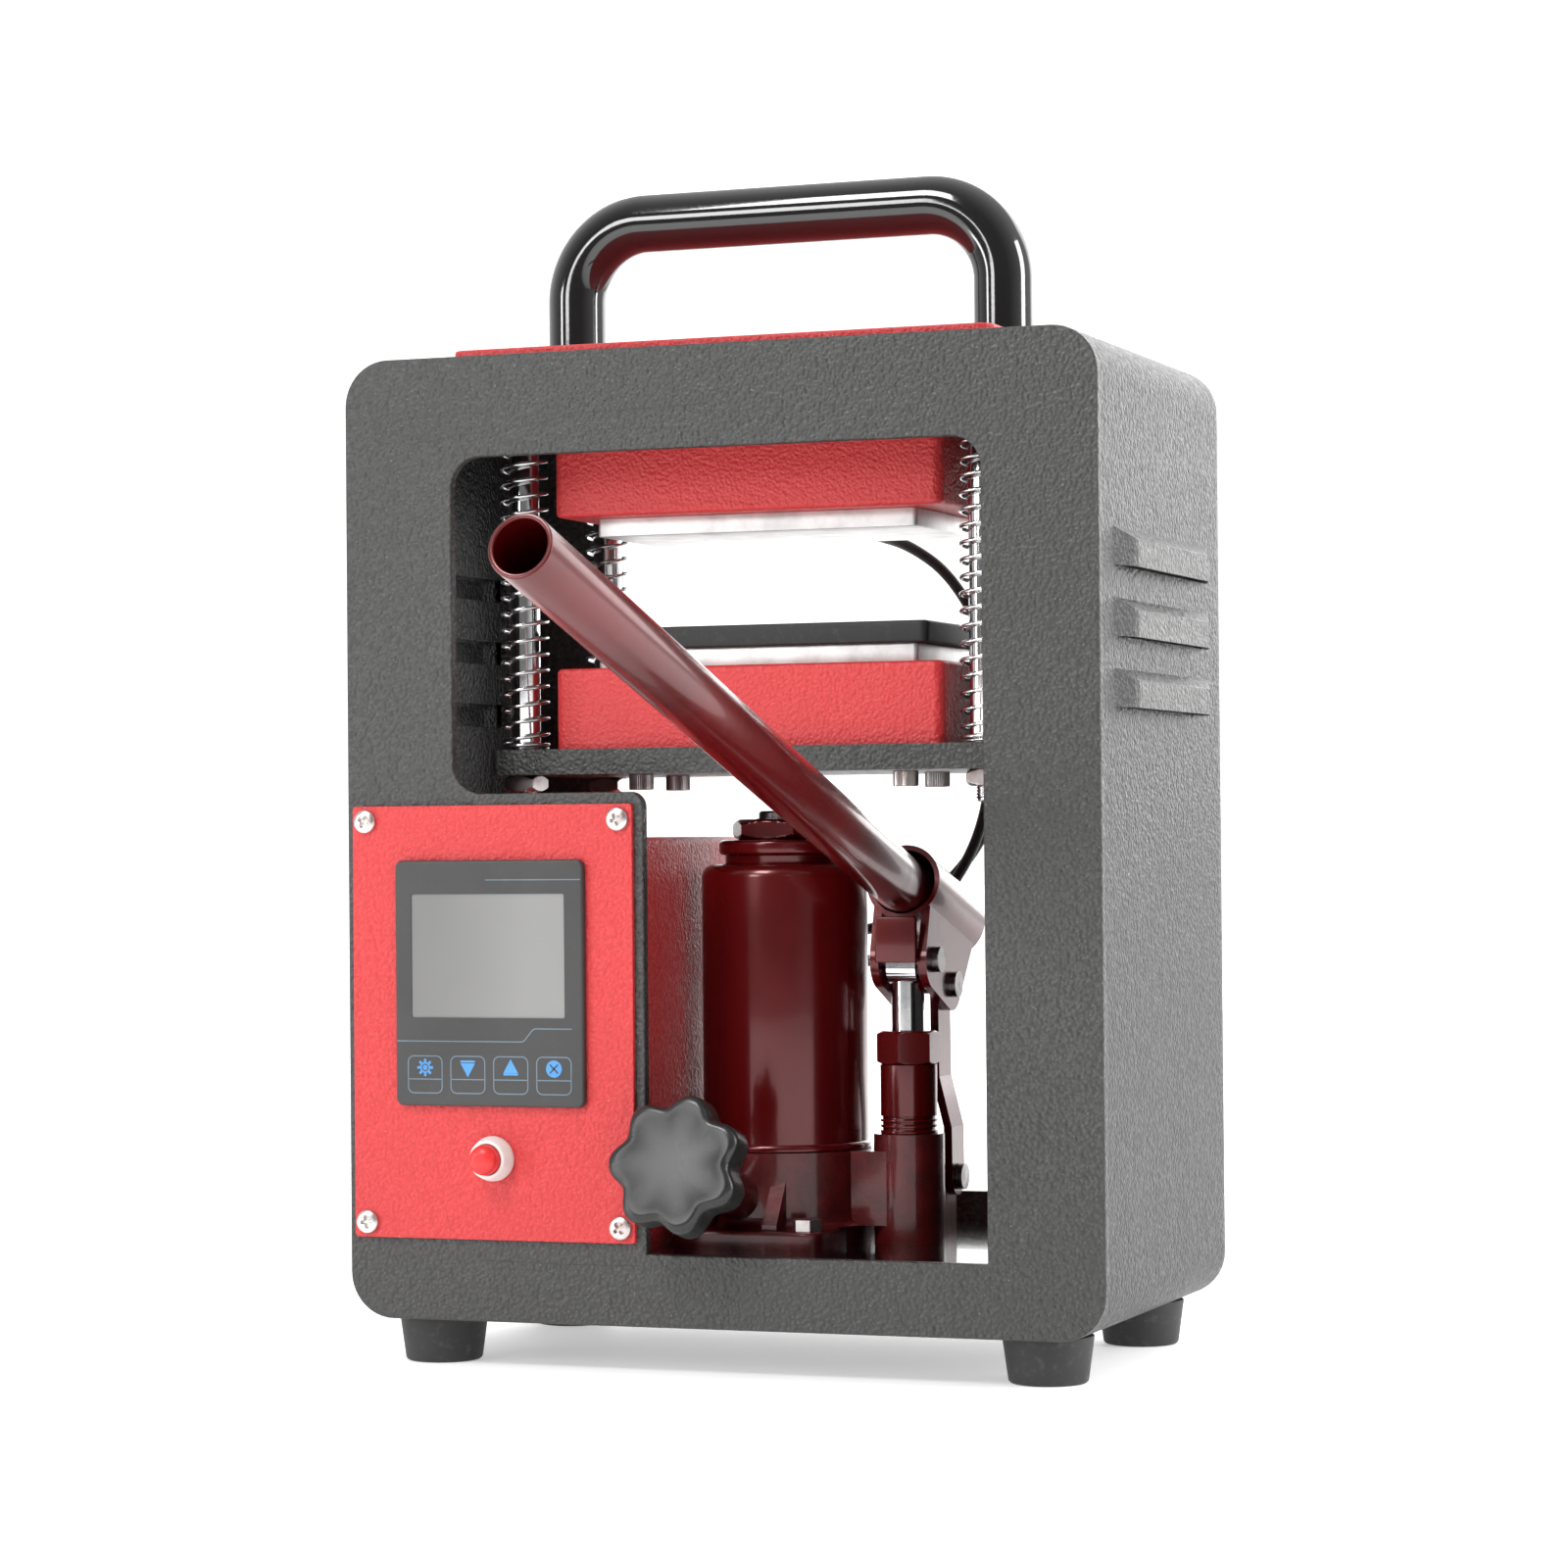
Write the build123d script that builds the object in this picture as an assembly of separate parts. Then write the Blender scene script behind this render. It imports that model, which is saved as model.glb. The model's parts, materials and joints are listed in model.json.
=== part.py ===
"""Tabletop hydraulic heat press: a boxed steel frame with a bottle jack, two heated platens and a controller.

Working frame: X to the right, Y to the back with 0 at the front plate's face, Z up with 0 at the casing's
underside.  save() moves every piece into the part's own frame, whose origin is the bottom centre of its box.
"""
import os
from math import cos, radians, sin, tan

from build123d import *

# ---------------------------------------------------------------- driving dimensions, in millimetres
# casing
BODY_W = 309.0
BODY_H = 376.6
BODY_D = 173.2
BODY_CORNER_R = 18.0
PLATE_T = 4.0                   # front and back plates
SHELL_T = 3.0                   # wrap-around shell
EDGE_R = 0.8
WINDOW_SIDE = 45.8              # band left at each side of the window
WINDOW_TOP_BAND = 39.6
WINDOW_R = 12.0
FLOOR_TOP = 28.0                # top of the floor plate, level with the window's sill
FLOOR_T = 6.0
FLOOR_RAIL_X = 58.0
FLOOR_RAIL_T = 6.0
BACK_SILL = 12.0                # how far the back window's sill stands above the floor
HEAD_DROP = 21.6                # from the casing's top down to the head plate's underside
HEAD_T = 8.0
# louvres
LOUVRE_BOTTOMS = (235.0, 261.6, 288.2)
LOUVRE_L = 136.0
LOUVRE_H = 14.5
LOUVRE_BULGE = 5.0
LOUVRE_END_SLOPE = 17.0
LOUVRE_TOP_SLOPE = 4.5
LOUVRE_T = 1.2
# feet
FOOT_H = 18.0
FOOT_TOP_R = 17.5
FOOT_BOTTOM_R = 15.0
FOOT_X = 125.0
FOOT_EDGE_Y = 23.0
FOOT_RECESS_R = 7.0
FOOT_RECESS_DEPTH = 8.0
FOOT_SCREW_R = 3.0
# top cover and carry handle
COVER_W = 222.6
COVER_T = 3.0
COVER_INSET_Y = 6.0
GRIP_R = 12.0
GRIP_WALL = 2.0
GRIP_LEG_X = 91.3
GRIP_H = 69.9                   # from the red cover to the top of the grip
GRIP_BEND_R = 19.0
GRIP_PLUG = 14.0
GRIP_SCREW_R = 4.0
# press guide
PRESS_Y = 84.7                  # centre of the platens, front to back
ROD_X = 96.3
ROD_SPAN_Y = 84.6
ROD_R = 6.0
ROD_THREAD_R = 4.0
NUT_AF = 13.0
NUT_T = 6.5
ROD_STUB = 6.0
SPRING_R = 9.75
SPRING_WIRE = 1.5
LIFT_Z = 213.0                  # underside of the lift plate at rest
LIFT_T = 10.0
LIFT_W = 212.0
LIFT_D = 110.0
# platens
PLATEN_W = 162.0
PLATEN_D = 96.5
UPPER_COVER_H = 40.0
LOWER_COVER_H = 32.0
PLATEN_R = 4.0
PLATEN_SHEET = 1.5
HEAT_W = 134.0
HEAT_D = 73.3
HEAT_T = 7.4
ELEMENT_MARGIN = 7.0
INSULATION_H = 22.0
PAD_W = 144.0
PAD_D = 80.0
PAD_T = 8.6
PLATEN_SCREW_X = 56.0
PLATEN_SCREW_SPAN_Y = 39.0
PLATEN_SCREW_R = 3.0
PLATEN_SCREW_HEAD_R = 5.0
PLATEN_SCREW_HEAD_H = 6.0
# control panel and box
PANEL_EDGE = 3.0                # from the casing's left side to the panel
PANEL_W = 119.2
PANEL_Z = 32.0
PANEL_H = 169.0
PANEL_T = 2.0
PANEL_SCREW_INSET_X = 5.8
PANEL_SCREW_INSET_Z = 6.0
PANEL_SCREW_HEAD_R = 4.6
PANEL_SCREW_R = 2.0
BAND_OVERHANG = 3.8             # front plate's band past the panel's right edge
BOX_SIDE_INSET = 8.0            # control box's side wall in from the band's edge
BOX_SHEET = 1.5
BOX_TOP = 188.0
BOX_BAND_TOP = 205.5            # top of the front plate's band above the panel
BEZEL_W = 79.9
BEZEL_H = 95.6
BEZEL_T = 3.0
BEZEL_LEFT = 19.7               # from the panel's left edge
BEZEL_Z = 84.0
CASE_SHRINK = 2.4
CASE_D = 57.0
SCREEN_W = 65.1
SCREEN_H = 48.1
SCREEN_LEFT = 7.0
SCREEN_RISE = 34.4
SCREEN_RECESS = 1.4
SCREEN_T = 1.0
BUTTON_RIGHT = 60.0             # from the panel's left edge
BUTTON_Z = 63.7
BUTTON_FLANGE_R = 8.8
BUTTON_FLANGE_TIP_R = 7.1
BUTTON_FLANGE_T = 7.0
BUTTON_BARREL_R = 7.7
BUTTON_BARREL_L = 18.0
BUTTON_CAP_R = 5.8
BUTTON_PROUD = 13.2
BUTTON_SKIRT = 9.0
BUTTON_NUT_AF = 19.0
RELAY_SIZE = (45.0, 60.0, 25.0)
# power inlet and rocker
SWITCH_INSET = 13.5             # switch's middle, from the control box's right wall
INLET_PITCH = 38.0              # from the switch's middle to the inlet's
POWER_Z = 78.0
INLET_HOLE = (27.0, 20.0)
INLET_CAVITY = (24.0, 16.5, 15.0)
SWITCH_HOLE = (14.6, 25.0)
SWITCH_CAVITY = (11.8, 21.6)
POWER_FLANGE = 2.5
POWER_FLANGE_T = 2.2
ROCKER_TILT = 10.0
# bottle jack
JACK_Y = 78.0
JACK_BASE_X = 31.0
JACK_BASE_FRONT = 28.0
JACK_BASE_BACK = 138.0
JACK_FLANGE_T = 7.0
JACK_BASE_H = 36.0
JACK_BOSS_R = 35.0
RIB_T = 6.0
BASE_BOLT_X = 24.0
BASE_BOLT_INSET = 8.0
BASE_BOLT_R = 4.0
BASE_BOLT_AF = 10.0
RESERVOIR_R = 33.0
RESERVOIR_WALL = 2.5
RESERVOIR_H = 113.0
CYLINDER_R = 21.0
CYLINDER_BORE_R = 16.0
CYLINDER_SEAT = 12.0            # cylinder's foot above the floor
RAM_R = 11.0
RAM_BASE = 30.0                 # ram's foot above the floor
RAM_TOP = 195.0
PISTON_H = 12.0
CAP_RING_R = 26.0
CAP_COLLAR_H = 3.6
CAP_RING_H = 5.9
CAP_HEX_AF = 38.0
CAP_HEX_H = 8.2
SADDLE_R = 10.0
SADDLE_H = 3.0
SADDLE_SCREW_R = 7.0
SADDLE_SCREW_L = 45.0
# pump
PUMP_X = 52.0
PUMP_Y = 77.0
PUMP_BOSS_R = 14.0
PUMP_BOSS_H = 42.6
PUMP_R = 11.2
PUMP_H = 27.1
PUMP_HEX_AF = 22.0
PUMP_HEX_H = 13.3
PUMP_SPIGOT_R = 9.0
PUMP_SPIGOT_L = 25.0
PLUNGER_R = 6.5
PLUNGER_FOOT = 62.0
PIN_R = 4.0
PLUNGER_PIN_Z = 139.0
FULCRUM = (98.0, 128.5)         # Y, Z of the fulcrum pin
LINK_FOOT = (100.0, 52.0)       # Y, Z of the links' base pin
TONGUE_HALF = 6.0
TONGUE_W = 18.0
SLOT_PLAY_Y = 1.5
SLOT_PLAY_Z = 0.6
LINK_T = 3.4
LINK_W = 15.0
LINK_UPPER_GAP = 4.5
LINK_JOGGLE = (92.0, 72.0)
LUG_HALF = 9.0
SIDE_GAP = 0.3                  # between plates that turn past each other
CHEEK_T = 3.5
PIN_HEAD_R = 5.2
PIN_HEAD_T = 2.6
# handle
HANDLE_ANGLE = 17.0             # handle above the horizontal at rest
HANDLE_MOUTH = (72.0, 168.0)    # Y, Z where the handle leaves the socket
HANDLE_R = 11.0
HANDLE_WALL = 1.8
HANDLE_OUT = 379.6
HANDLE_IN = 52.0
SOCKET_R = 15.0
SOCKET_BORE_R = 13.0
SOCKET_L = 60.0
HANDLE_REST = 0.3               # gap where the handle lies in its socket
# release valve
VALVE_X = -8.0
KNOB_FRONT = (-21.5, 64.6)      # Y, Z of the middle of the knob's face
VALVE_TILT = 15.0
KNOB_R = 27.0
KNOB_T = 15.0
KNOB_LOBES = 7
KNOB_SCALLOP_R = 10.0
KNOB_SCALLOP_DEPTH = 4.6
STEM_R = 5.0
STEM_L = 74.0
VALVE_BOSS_R = 9.0
VALVE_BOSS_START = 45.0
# leads
LEAD_R = 2.25
GLAND_R = 4.5
GROMMET_R = 5.5
# clearances
RUN_FIT = 0.05                  # radial, a shaft in its hole
SCREW_FIT = 0.05                # radial, a screw in its hole

# ---------------------------------------------------------------- values worked out from them
SHELL_Y0 = PLATE_T
SHELL_Y1 = BODY_D - PLATE_T
INNER_X = BODY_W / 2 - SHELL_T
WINDOW_X = BODY_W / 2 - WINDOW_SIDE
WINDOW_TOP = BODY_H - WINDOW_TOP_BAND
HEAD_Z = BODY_H - HEAD_DROP
HEAD_TOP = HEAD_Z + HEAD_T
GRIP_BASE = BODY_H + COVER_T
ROD_YS = (PRESS_Y - ROD_SPAN_Y / 2, PRESS_Y + ROD_SPAN_Y / 2)
ROD_PLACES = [(x, y) for x in (-ROD_X, ROD_X) for y in ROD_YS]
LIFT_TOP = LIFT_Z + LIFT_T
LOWER_PLATE_Z = LIFT_TOP + LOWER_COVER_H
PAD_Z = LOWER_PLATE_Z + HEAT_T
UPPER_COVER_Z = HEAD_Z - UPPER_COVER_H
UPPER_PLATE_Z = UPPER_COVER_Z - HEAT_T
SCREW_YS = (PRESS_Y - PLATEN_SCREW_SPAN_Y / 2, PRESS_Y + PLATEN_SCREW_SPAN_Y / 2)
SCREW_PLACES = [(x, y) for x in (-PLATEN_SCREW_X, PLATEN_SCREW_X) for y in SCREW_YS]
FOOT_PLACES = [(x, y) for x in (-FOOT_X, FOOT_X) for y in (FOOT_EDGE_Y, BODY_D - FOOT_EDGE_Y)]
PANEL_X0 = -BODY_W / 2 + PANEL_EDGE
PANEL_X1 = PANEL_X0 + PANEL_W
PANEL_SCREWS = [
    (x, z)
    for x in (PANEL_X0 + PANEL_SCREW_INSET_X, PANEL_X1 - PANEL_SCREW_INSET_X)
    for z in (PANEL_Z + PANEL_SCREW_INSET_Z, PANEL_Z + PANEL_H - PANEL_SCREW_INSET_Z)
]
BAND_X1 = PANEL_X1 + BAND_OVERHANG
BOX_X1 = BAND_X1 - BOX_SIDE_INSET
SWITCH_X = BOX_X1 - SWITCH_INSET
INLET_X = SWITCH_X - INLET_PITCH
BEZEL_X = PANEL_X0 + BEZEL_LEFT + BEZEL_W / 2
BEZEL_MID_Z = BEZEL_Z + BEZEL_H / 2
CASE_W = BEZEL_W - 2 * CASE_SHRINK
CASE_H = BEZEL_H - 2 * CASE_SHRINK
BUTTON_X = PANEL_X0 + BUTTON_RIGHT
BOX_BACK = SHELL_Y1
POWER_FACE = BOX_BACK + POWER_FLANGE_T
JACK_BASE_TOP = FLOOR_TOP + JACK_BASE_H
JACK_FLANGE_TOP = FLOOR_TOP + JACK_FLANGE_T
RESERVOIR_TOP = JACK_BASE_TOP + RESERVOIR_H
CAP_RING_Z = RESERVOIR_TOP + CAP_COLLAR_H
CAP_HEX_Z = CAP_RING_Z + CAP_RING_H
CAP_TOP = CAP_HEX_Z + CAP_HEX_H
PUMP_BOSS_TOP = FLOOR_TOP + PUMP_BOSS_H
PUMP_HEX_Z = PUMP_BOSS_TOP + PUMP_H
PUMP_TOP = PUMP_HEX_Z + PUMP_HEX_H
LINK_LOWER_GAP = LUG_HALF + SIDE_GAP
CHEEK_GAP = LINK_UPPER_GAP + LINK_T + SIDE_GAP
PIN_HALF_L = CHEEK_GAP + CHEEK_T
HANDLE_AXIS = Vector(0, -cos(radians(HANDLE_ANGLE)), sin(radians(HANDLE_ANGLE)))
HANDLE_UP = Vector(0, sin(radians(HANDLE_ANGLE)), cos(radians(HANDLE_ANGLE)))
HANDLE_POINT = Vector(PUMP_X, *HANDLE_MOUTH)
SOCKET_POINT = HANDLE_POINT + HANDLE_UP * (SOCKET_BORE_R - HANDLE_R - HANDLE_REST)
VALVE_AXIS = Vector(0, -cos(radians(VALVE_TILT)), sin(radians(VALVE_TILT)))
VALVE_POINT = Vector(VALVE_X, *KNOB_FRONT)
HANDLE_END = HANDLE_POINT + HANDLE_AXIS * HANDLE_OUT
FRONT_REACH = HANDLE_END.Y - HANDLE_R * sin(radians(HANDLE_ANGLE))
ORIGIN_Y = (FRONT_REACH + BODY_D) / 2

# routes of the two platen leads: gland, clear of the window, down behind the jack, through the box wall
UPPER_LEAD = [
    (20.0, PRESS_Y + HEAT_D / 2 + 3.5, UPPER_PLATE_Z + 3.5),
    (20.0, 140.0, UPPER_PLATE_Z + 3.5),
    (29.0, 153.0, 307.5),
    (43.0, 161.0, 296.0),
    (57.0, 163.0, 272.0),
    (66.0, 163.0, 240.0),
    (65.0, 163.0, 206.0),
    (51.0, 162.0, 177.0),
    (25.0, 161.0, 155.0),
    (-3.0, 160.0, 145.5),
    (BOX_X1 - 14.0, 160.0, 145.5),
]
LOWER_LEAD = [
    (56.0, PRESS_Y + PLATEN_D / 2 + 3.0, LIFT_TOP + 20.0),
    (56.0, 149.8, LIFT_TOP + 20.0),
    (58.0, 159.5, 233.3),
    (60.0, 159.5, 219.0),
    (60.0, 157.0, 200.0),
    (53.0, 154.0, 178.0),
    (38.0, 152.0, 157.0),
    (18.0, 150.0, 139.0),
    (-4.0, 150.0, 131.0),
    (BOX_X1 - 14.0, 150.0, 131.0),
]

NODES = {}


# ---------------------------------------------------------------- helpers
def save(name, *shapes):
    """Keep the solids of one node; they are written out at the end."""
    NODES[name] = [solid for shape in shapes for solid in shape.solids()]


def box(x0, x1, y0, y1, z0, z1):
    """A block between three pairs of limits."""
    return Pos((x0 + x1) / 2, (y0 + y1) / 2, (z0 + z1) / 2) * Box(x1 - x0, y1 - y0, z1 - z0)


def post(radius, z0, z1, x=0.0, y=0.0):
    """An upright cylinder."""
    return Pos(x, y, (z0 + z1) / 2) * Cylinder(radius, z1 - z0)


def rod_y(radius, y0, y1, x, z):
    """A cylinder lying front to back."""
    return Pos(x, (y0 + y1) / 2, z) * Rot(90, 0, 0) * Cylinder(radius, y1 - y0)


def rod_x(radius, x0, x1, y, z):
    """A cylinder lying left to right."""
    return Pos((x0 + x1) / 2, y, z) * Rot(0, 90, 0) * Cylinder(radius, x1 - x0)


def prism(sides, across_flats, z0, z1, x=0.0, y=0.0, turn=0.0):
    """An upright nut or bolt head, given across its flats."""
    outline = Rot(0, 0, turn) * RegularPolygon(across_flats / 2, sides, major_radius=False)
    return Pos(x, y, z0) * extrude(outline, amount=z1 - z0)


def slab_y(outline, y0, y1):
    """A plate facing front, from an outline drawn in X and Z."""
    return Pos(0, y1, 0) * extrude(Plane.XZ * outline, amount=y1 - y0)


def slab_x(outline, x0, x1):
    """A plate facing sideways, from an outline drawn in Y and Z."""
    return Pos(x0, 0, 0) * extrude(Plane.YZ * outline, amount=x1 - x0)


def rectangle(x0, x1, z0, z1, radius=0.0):
    """A rectangle between limits, with rounded corners if a radius is given."""
    shape = RectangleRounded(x1 - x0, z1 - z0, radius) if radius else Rectangle(x1 - x0, z1 - z0)
    return Pos((x0 + x1) / 2, (z0 + z1) / 2) * shape


def casing_outline(inset=0.0):
    """The casing's rounded outline seen from the front."""
    half = BODY_W / 2 - inset
    return rectangle(-half, half, inset, BODY_H - inset, BODY_CORNER_R - inset)


def along(point, axis, start, end, radius):
    """A cylinder on an inclined axis in a YZ plane, between two distances from a point."""
    plane = Plane(origin=point + axis * start, x_dir=(1, 0, 0), z_dir=axis)
    return extrude(plane * Circle(radius), amount=end - start)


def round_front(shape, radius):
    """Round every edge of the front-most face."""
    return fillet(shape.faces().sort_by(Axis.Y)[0].edges(), radius)


def socket_screw(x, y, under_head, direction, shank):
    """A socket-head cap screw; direction is +1 when the shank points up."""
    head = post(PLATEN_SCREW_HEAD_R, *sorted((under_head, under_head - direction * PLATEN_SCREW_HEAD_H)), x, y)
    head = chamfer(head.edges().filter_by(GeomType.CIRCLE), 0.5)
    key_end = under_head - direction * PLATEN_SCREW_HEAD_H
    key = prism(6, 5.0, *sorted((key_end, key_end + direction * 3.0)), x, y)
    stem = post(PLATEN_SCREW_R, *sorted((under_head, under_head + direction * shank)), x, y)
    return head - key + stem


# ---------------------------------------------------------------- casing
def louvre(bottom, shrink):
    """A pressed hood on the right side: wide at the wall, narrower outside, open at its bottom."""
    wall = BODY_W / 2
    mid_y = BODY_D / 2
    half = LOUVRE_L / 2 - shrink
    top = bottom + LOUVRE_H - shrink
    reach = LOUVRE_BULGE - shrink
    at_wall = Pos(mid_y, (bottom + top) / 2) * Rectangle(2 * half, top - bottom)
    outer_half = half - LOUVRE_END_SLOPE
    outer_top = top - LOUVRE_TOP_SLOPE
    outside = Pos(mid_y, (bottom + outer_top) / 2) * Rectangle(2 * outer_half, outer_top - bottom)
    sections = [Plane.YZ.offset(wall) * at_wall, Plane.YZ.offset(wall + reach) * outside]
    return loft(sections, ruled=True)


def make_casing():
    """Front plate, shell, back plate, floor plate and head plate."""
    sill_corner = (BAND_X1, BOX_BAND_TOP)
    upper = rectangle(-WINDOW_X, WINDOW_X, BOX_BAND_TOP, WINDOW_TOP, WINDOW_R)
    lower = rectangle(BAND_X1, WINDOW_X, FLOOR_TOP, WINDOW_TOP - 2 * WINDOW_R)
    window = upper + lower
    inner_corner = window.vertices().sort_by_distance((*sill_corner, 0))[0]
    window = fillet(inner_corner, WINDOW_R / 2)
    front = round_front(slab_y(casing_outline() - window, 0, PLATE_T), EDGE_R)
    case_cut = rectangle(
        BEZEL_X - CASE_W / 2 - 0.2, BEZEL_X + CASE_W / 2 + 0.2,
        BEZEL_MID_Z - CASE_H / 2 - 0.2, BEZEL_MID_Z + CASE_H / 2 + 0.2,
    )
    front -= slab_y(case_cut, 0, PLATE_T)
    front -= rod_y(BUTTON_BARREL_R + 0.1, 0, PLATE_T, BUTTON_X, BUTTON_Z)
    for x, z in PANEL_SCREWS:
        front -= rod_y(PANEL_SCREW_R + SCREW_FIT, 0, PLATE_T, x, z)
    save("front_plate", front)

    shell = slab_y(casing_outline() - casing_outline(SHELL_T), SHELL_Y0, SHELL_Y1)
    for bottom in LOUVRE_BOTTOMS:
        hood = louvre(bottom, 0.0)
        hollow = louvre(bottom, LOUVRE_T)
        slot = box(
            BODY_W / 2 - SHELL_T, BODY_W / 2,
            BODY_D / 2 - LOUVRE_L / 2 + LOUVRE_END_SLOPE / 2, BODY_D / 2 + LOUVRE_L / 2 - LOUVRE_END_SLOPE / 2,
            bottom, bottom + LOUVRE_H - LOUVRE_TOP_SLOPE,
        )
        shell = shell + hood - hollow - slot
        shell = shell + mirror(hood, about=Plane.YZ) - mirror(hollow, about=Plane.YZ) - mirror(slot, about=Plane.YZ)
    for x, y in FOOT_PLACES:
        shell -= post(FOOT_SCREW_R + SCREW_FIT, 0, SHELL_T, x, y)
    for x in (-GRIP_LEG_X, GRIP_LEG_X):
        shell -= post(GRIP_SCREW_R + SCREW_FIT, BODY_H - SHELL_T, BODY_H, x, BODY_D / 2)
    save("body_shell", shell)

    back_window = rectangle(-WINDOW_X, WINDOW_X, FLOOR_TOP + BACK_SILL, WINDOW_TOP, WINDOW_R)
    back = slab_y(casing_outline() - back_window, SHELL_Y1, BODY_D)
    back = fillet(back.faces().sort_by(Axis.Y)[-1].edges(), EDGE_R)
    save("back_plate", back)

    floor = box(-INNER_X, INNER_X, SHELL_Y0, SHELL_Y1, FLOOR_TOP - FLOOR_T, FLOOR_TOP)
    for side in (-1, 1):
        rail = sorted((side * FLOOR_RAIL_X, side * (FLOOR_RAIL_X + FLOOR_RAIL_T)))
        floor += box(*rail, SHELL_Y0, SHELL_Y1, SHELL_T, FLOOR_TOP - FLOOR_T)
    for x, y in base_bolt_places():
        floor -= post(BASE_BOLT_R + SCREW_FIT, FLOOR_TOP - FLOOR_T, FLOOR_TOP, x, y)
    inside = slab_y(casing_outline(SHELL_T), SHELL_Y0, SHELL_Y1)
    save("floor_plate", floor & inside)

    head = box(-INNER_X, INNER_X, SHELL_Y0, SHELL_Y1, HEAD_Z, HEAD_TOP)
    for x, y in ROD_PLACES:
        head -= post(ROD_THREAD_R + SCREW_FIT, HEAD_Z, HEAD_TOP, x, y)
    for x, y in SCREW_PLACES:
        head -= post(PLATEN_SCREW_R + SCREW_FIT, HEAD_Z, HEAD_TOP, x, y)
    save("head_plate", head & inside)


def make_feet():
    """Four tapered rubber feet, each held by a screw and a nut."""
    feet = []
    screws = []
    for x, y in FOOT_PLACES:
        foot = Pos(x, y, -FOOT_H / 2) * Cone(FOOT_BOTTOM_R, FOOT_TOP_R, FOOT_H)
        foot -= post(FOOT_RECESS_R, -FOOT_H, -FOOT_H + FOOT_RECESS_DEPTH, x, y)
        foot -= post(FOOT_SCREW_R + SCREW_FIT, -FOOT_H, 0, x, y)
        feet.append(foot)
        seat = -FOOT_H + FOOT_RECESS_DEPTH
        screw = post(FOOT_SCREW_R + 2.5, seat - 3.5, seat, x, y) + post(FOOT_SCREW_R, seat, SHELL_T + 7.0, x, y)
        nut = prism(6, 10.0, SHELL_T, SHELL_T + 5.0, x, y) - post(FOOT_SCREW_R, SHELL_T, SHELL_T + 5.0, x, y)
        screws += [screw, nut]
    save("rubber_feet", *feet)
    save("foot_screws", *screws)


def make_top():
    """Red cover plate, bent grip and its two screws."""
    cover_outline = Pos(0, BODY_D / 2) * RectangleRounded(COVER_W, BODY_D - 2 * COVER_INSET_Y, 6.0)
    cover = Pos(0, 0, BODY_H) * extrude(cover_outline, amount=COVER_T)
    cover = fillet(cover.faces().sort_by(Axis.Z)[-1].edges(), EDGE_R)
    centre_z = GRIP_BASE + GRIP_H - GRIP_R
    path = FilletPolyline(
        (-GRIP_LEG_X, BODY_D / 2, GRIP_BASE), (-GRIP_LEG_X, BODY_D / 2, centre_z),
        (GRIP_LEG_X, BODY_D / 2, centre_z), (GRIP_LEG_X, BODY_D / 2, GRIP_BASE), radius=GRIP_BEND_R,
    )
    start = Plane(origin=(-GRIP_LEG_X, BODY_D / 2, GRIP_BASE), x_dir=(1, 0, 0), z_dir=(0, 0, 1))
    grip = sweep(start * Circle(GRIP_R), path) - sweep(start * Circle(GRIP_R - GRIP_WALL), path)
    screws = []
    for x in (-GRIP_LEG_X, GRIP_LEG_X):
        cover -= post(GRIP_SCREW_R + SCREW_FIT, BODY_H, GRIP_BASE, x, BODY_D / 2)
        plug = post(GRIP_R - GRIP_WALL, GRIP_BASE, GRIP_BASE + GRIP_PLUG, x, BODY_D / 2)
        grip += plug - post(GRIP_SCREW_R + SCREW_FIT, GRIP_BASE, GRIP_BASE + GRIP_PLUG, x, BODY_D / 2)
        under = BODY_H - SHELL_T
        screws.append(
            prism(6, 13.0, under - 5.5, under, x, BODY_D / 2)
            + post(GRIP_SCREW_R, under, GRIP_BASE + GRIP_PLUG - 1.0, x, BODY_D / 2)
        )
    save("top_cover_plate", cover)
    save("carry_handle", grip)
    save("handle_screws", *screws)


# ---------------------------------------------------------------- press guide and platens
def make_guide():
    """Four rods hang from the head plate; springs push the lift plate down onto their nuts."""
    rods = []
    nuts = []
    springs = []
    for x, y in ROD_PLACES:
        shaft = post(ROD_R, LIFT_Z, HEAD_Z, x, y)
        shaft += post(ROD_THREAD_R, LIFT_Z - NUT_T - ROD_STUB, HEAD_TOP + NUT_T + 1.5, x, y)
        rods.append(chamfer(shaft.edges().group_by(Axis.Z)[0] + shaft.edges().group_by(Axis.Z)[-1], 0.8))
        for z0 in (LIFT_Z - NUT_T, HEAD_TOP):
            nuts.append(prism(4, NUT_AF, z0, z0 + NUT_T, x, y) - post(ROD_THREAD_R, z0, z0 + NUT_T, x, y))
        springs.append(
            post(SPRING_R, LIFT_TOP, HEAD_Z, x, y) - post(SPRING_R - SPRING_WIRE, LIFT_TOP, HEAD_Z, x, y)
        )
    save("guide_rods", *rods)
    save("rod_nuts", *nuts)
    save("return_springs", *springs)

    outline = Pos(0, PRESS_Y) * RectangleRounded(LIFT_W, LIFT_D, 3.0)
    lift = Pos(0, 0, LIFT_Z) * extrude(outline, amount=LIFT_T)
    for x, y in ROD_PLACES:
        lift -= post(ROD_R + RUN_FIT, LIFT_Z, LIFT_TOP, x, y)
    for x, y in SCREW_PLACES:
        lift -= post(PLATEN_SCREW_R + SCREW_FIT, LIFT_Z, LIFT_TOP, x, y)
    save("lift_plate", lift)


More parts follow.
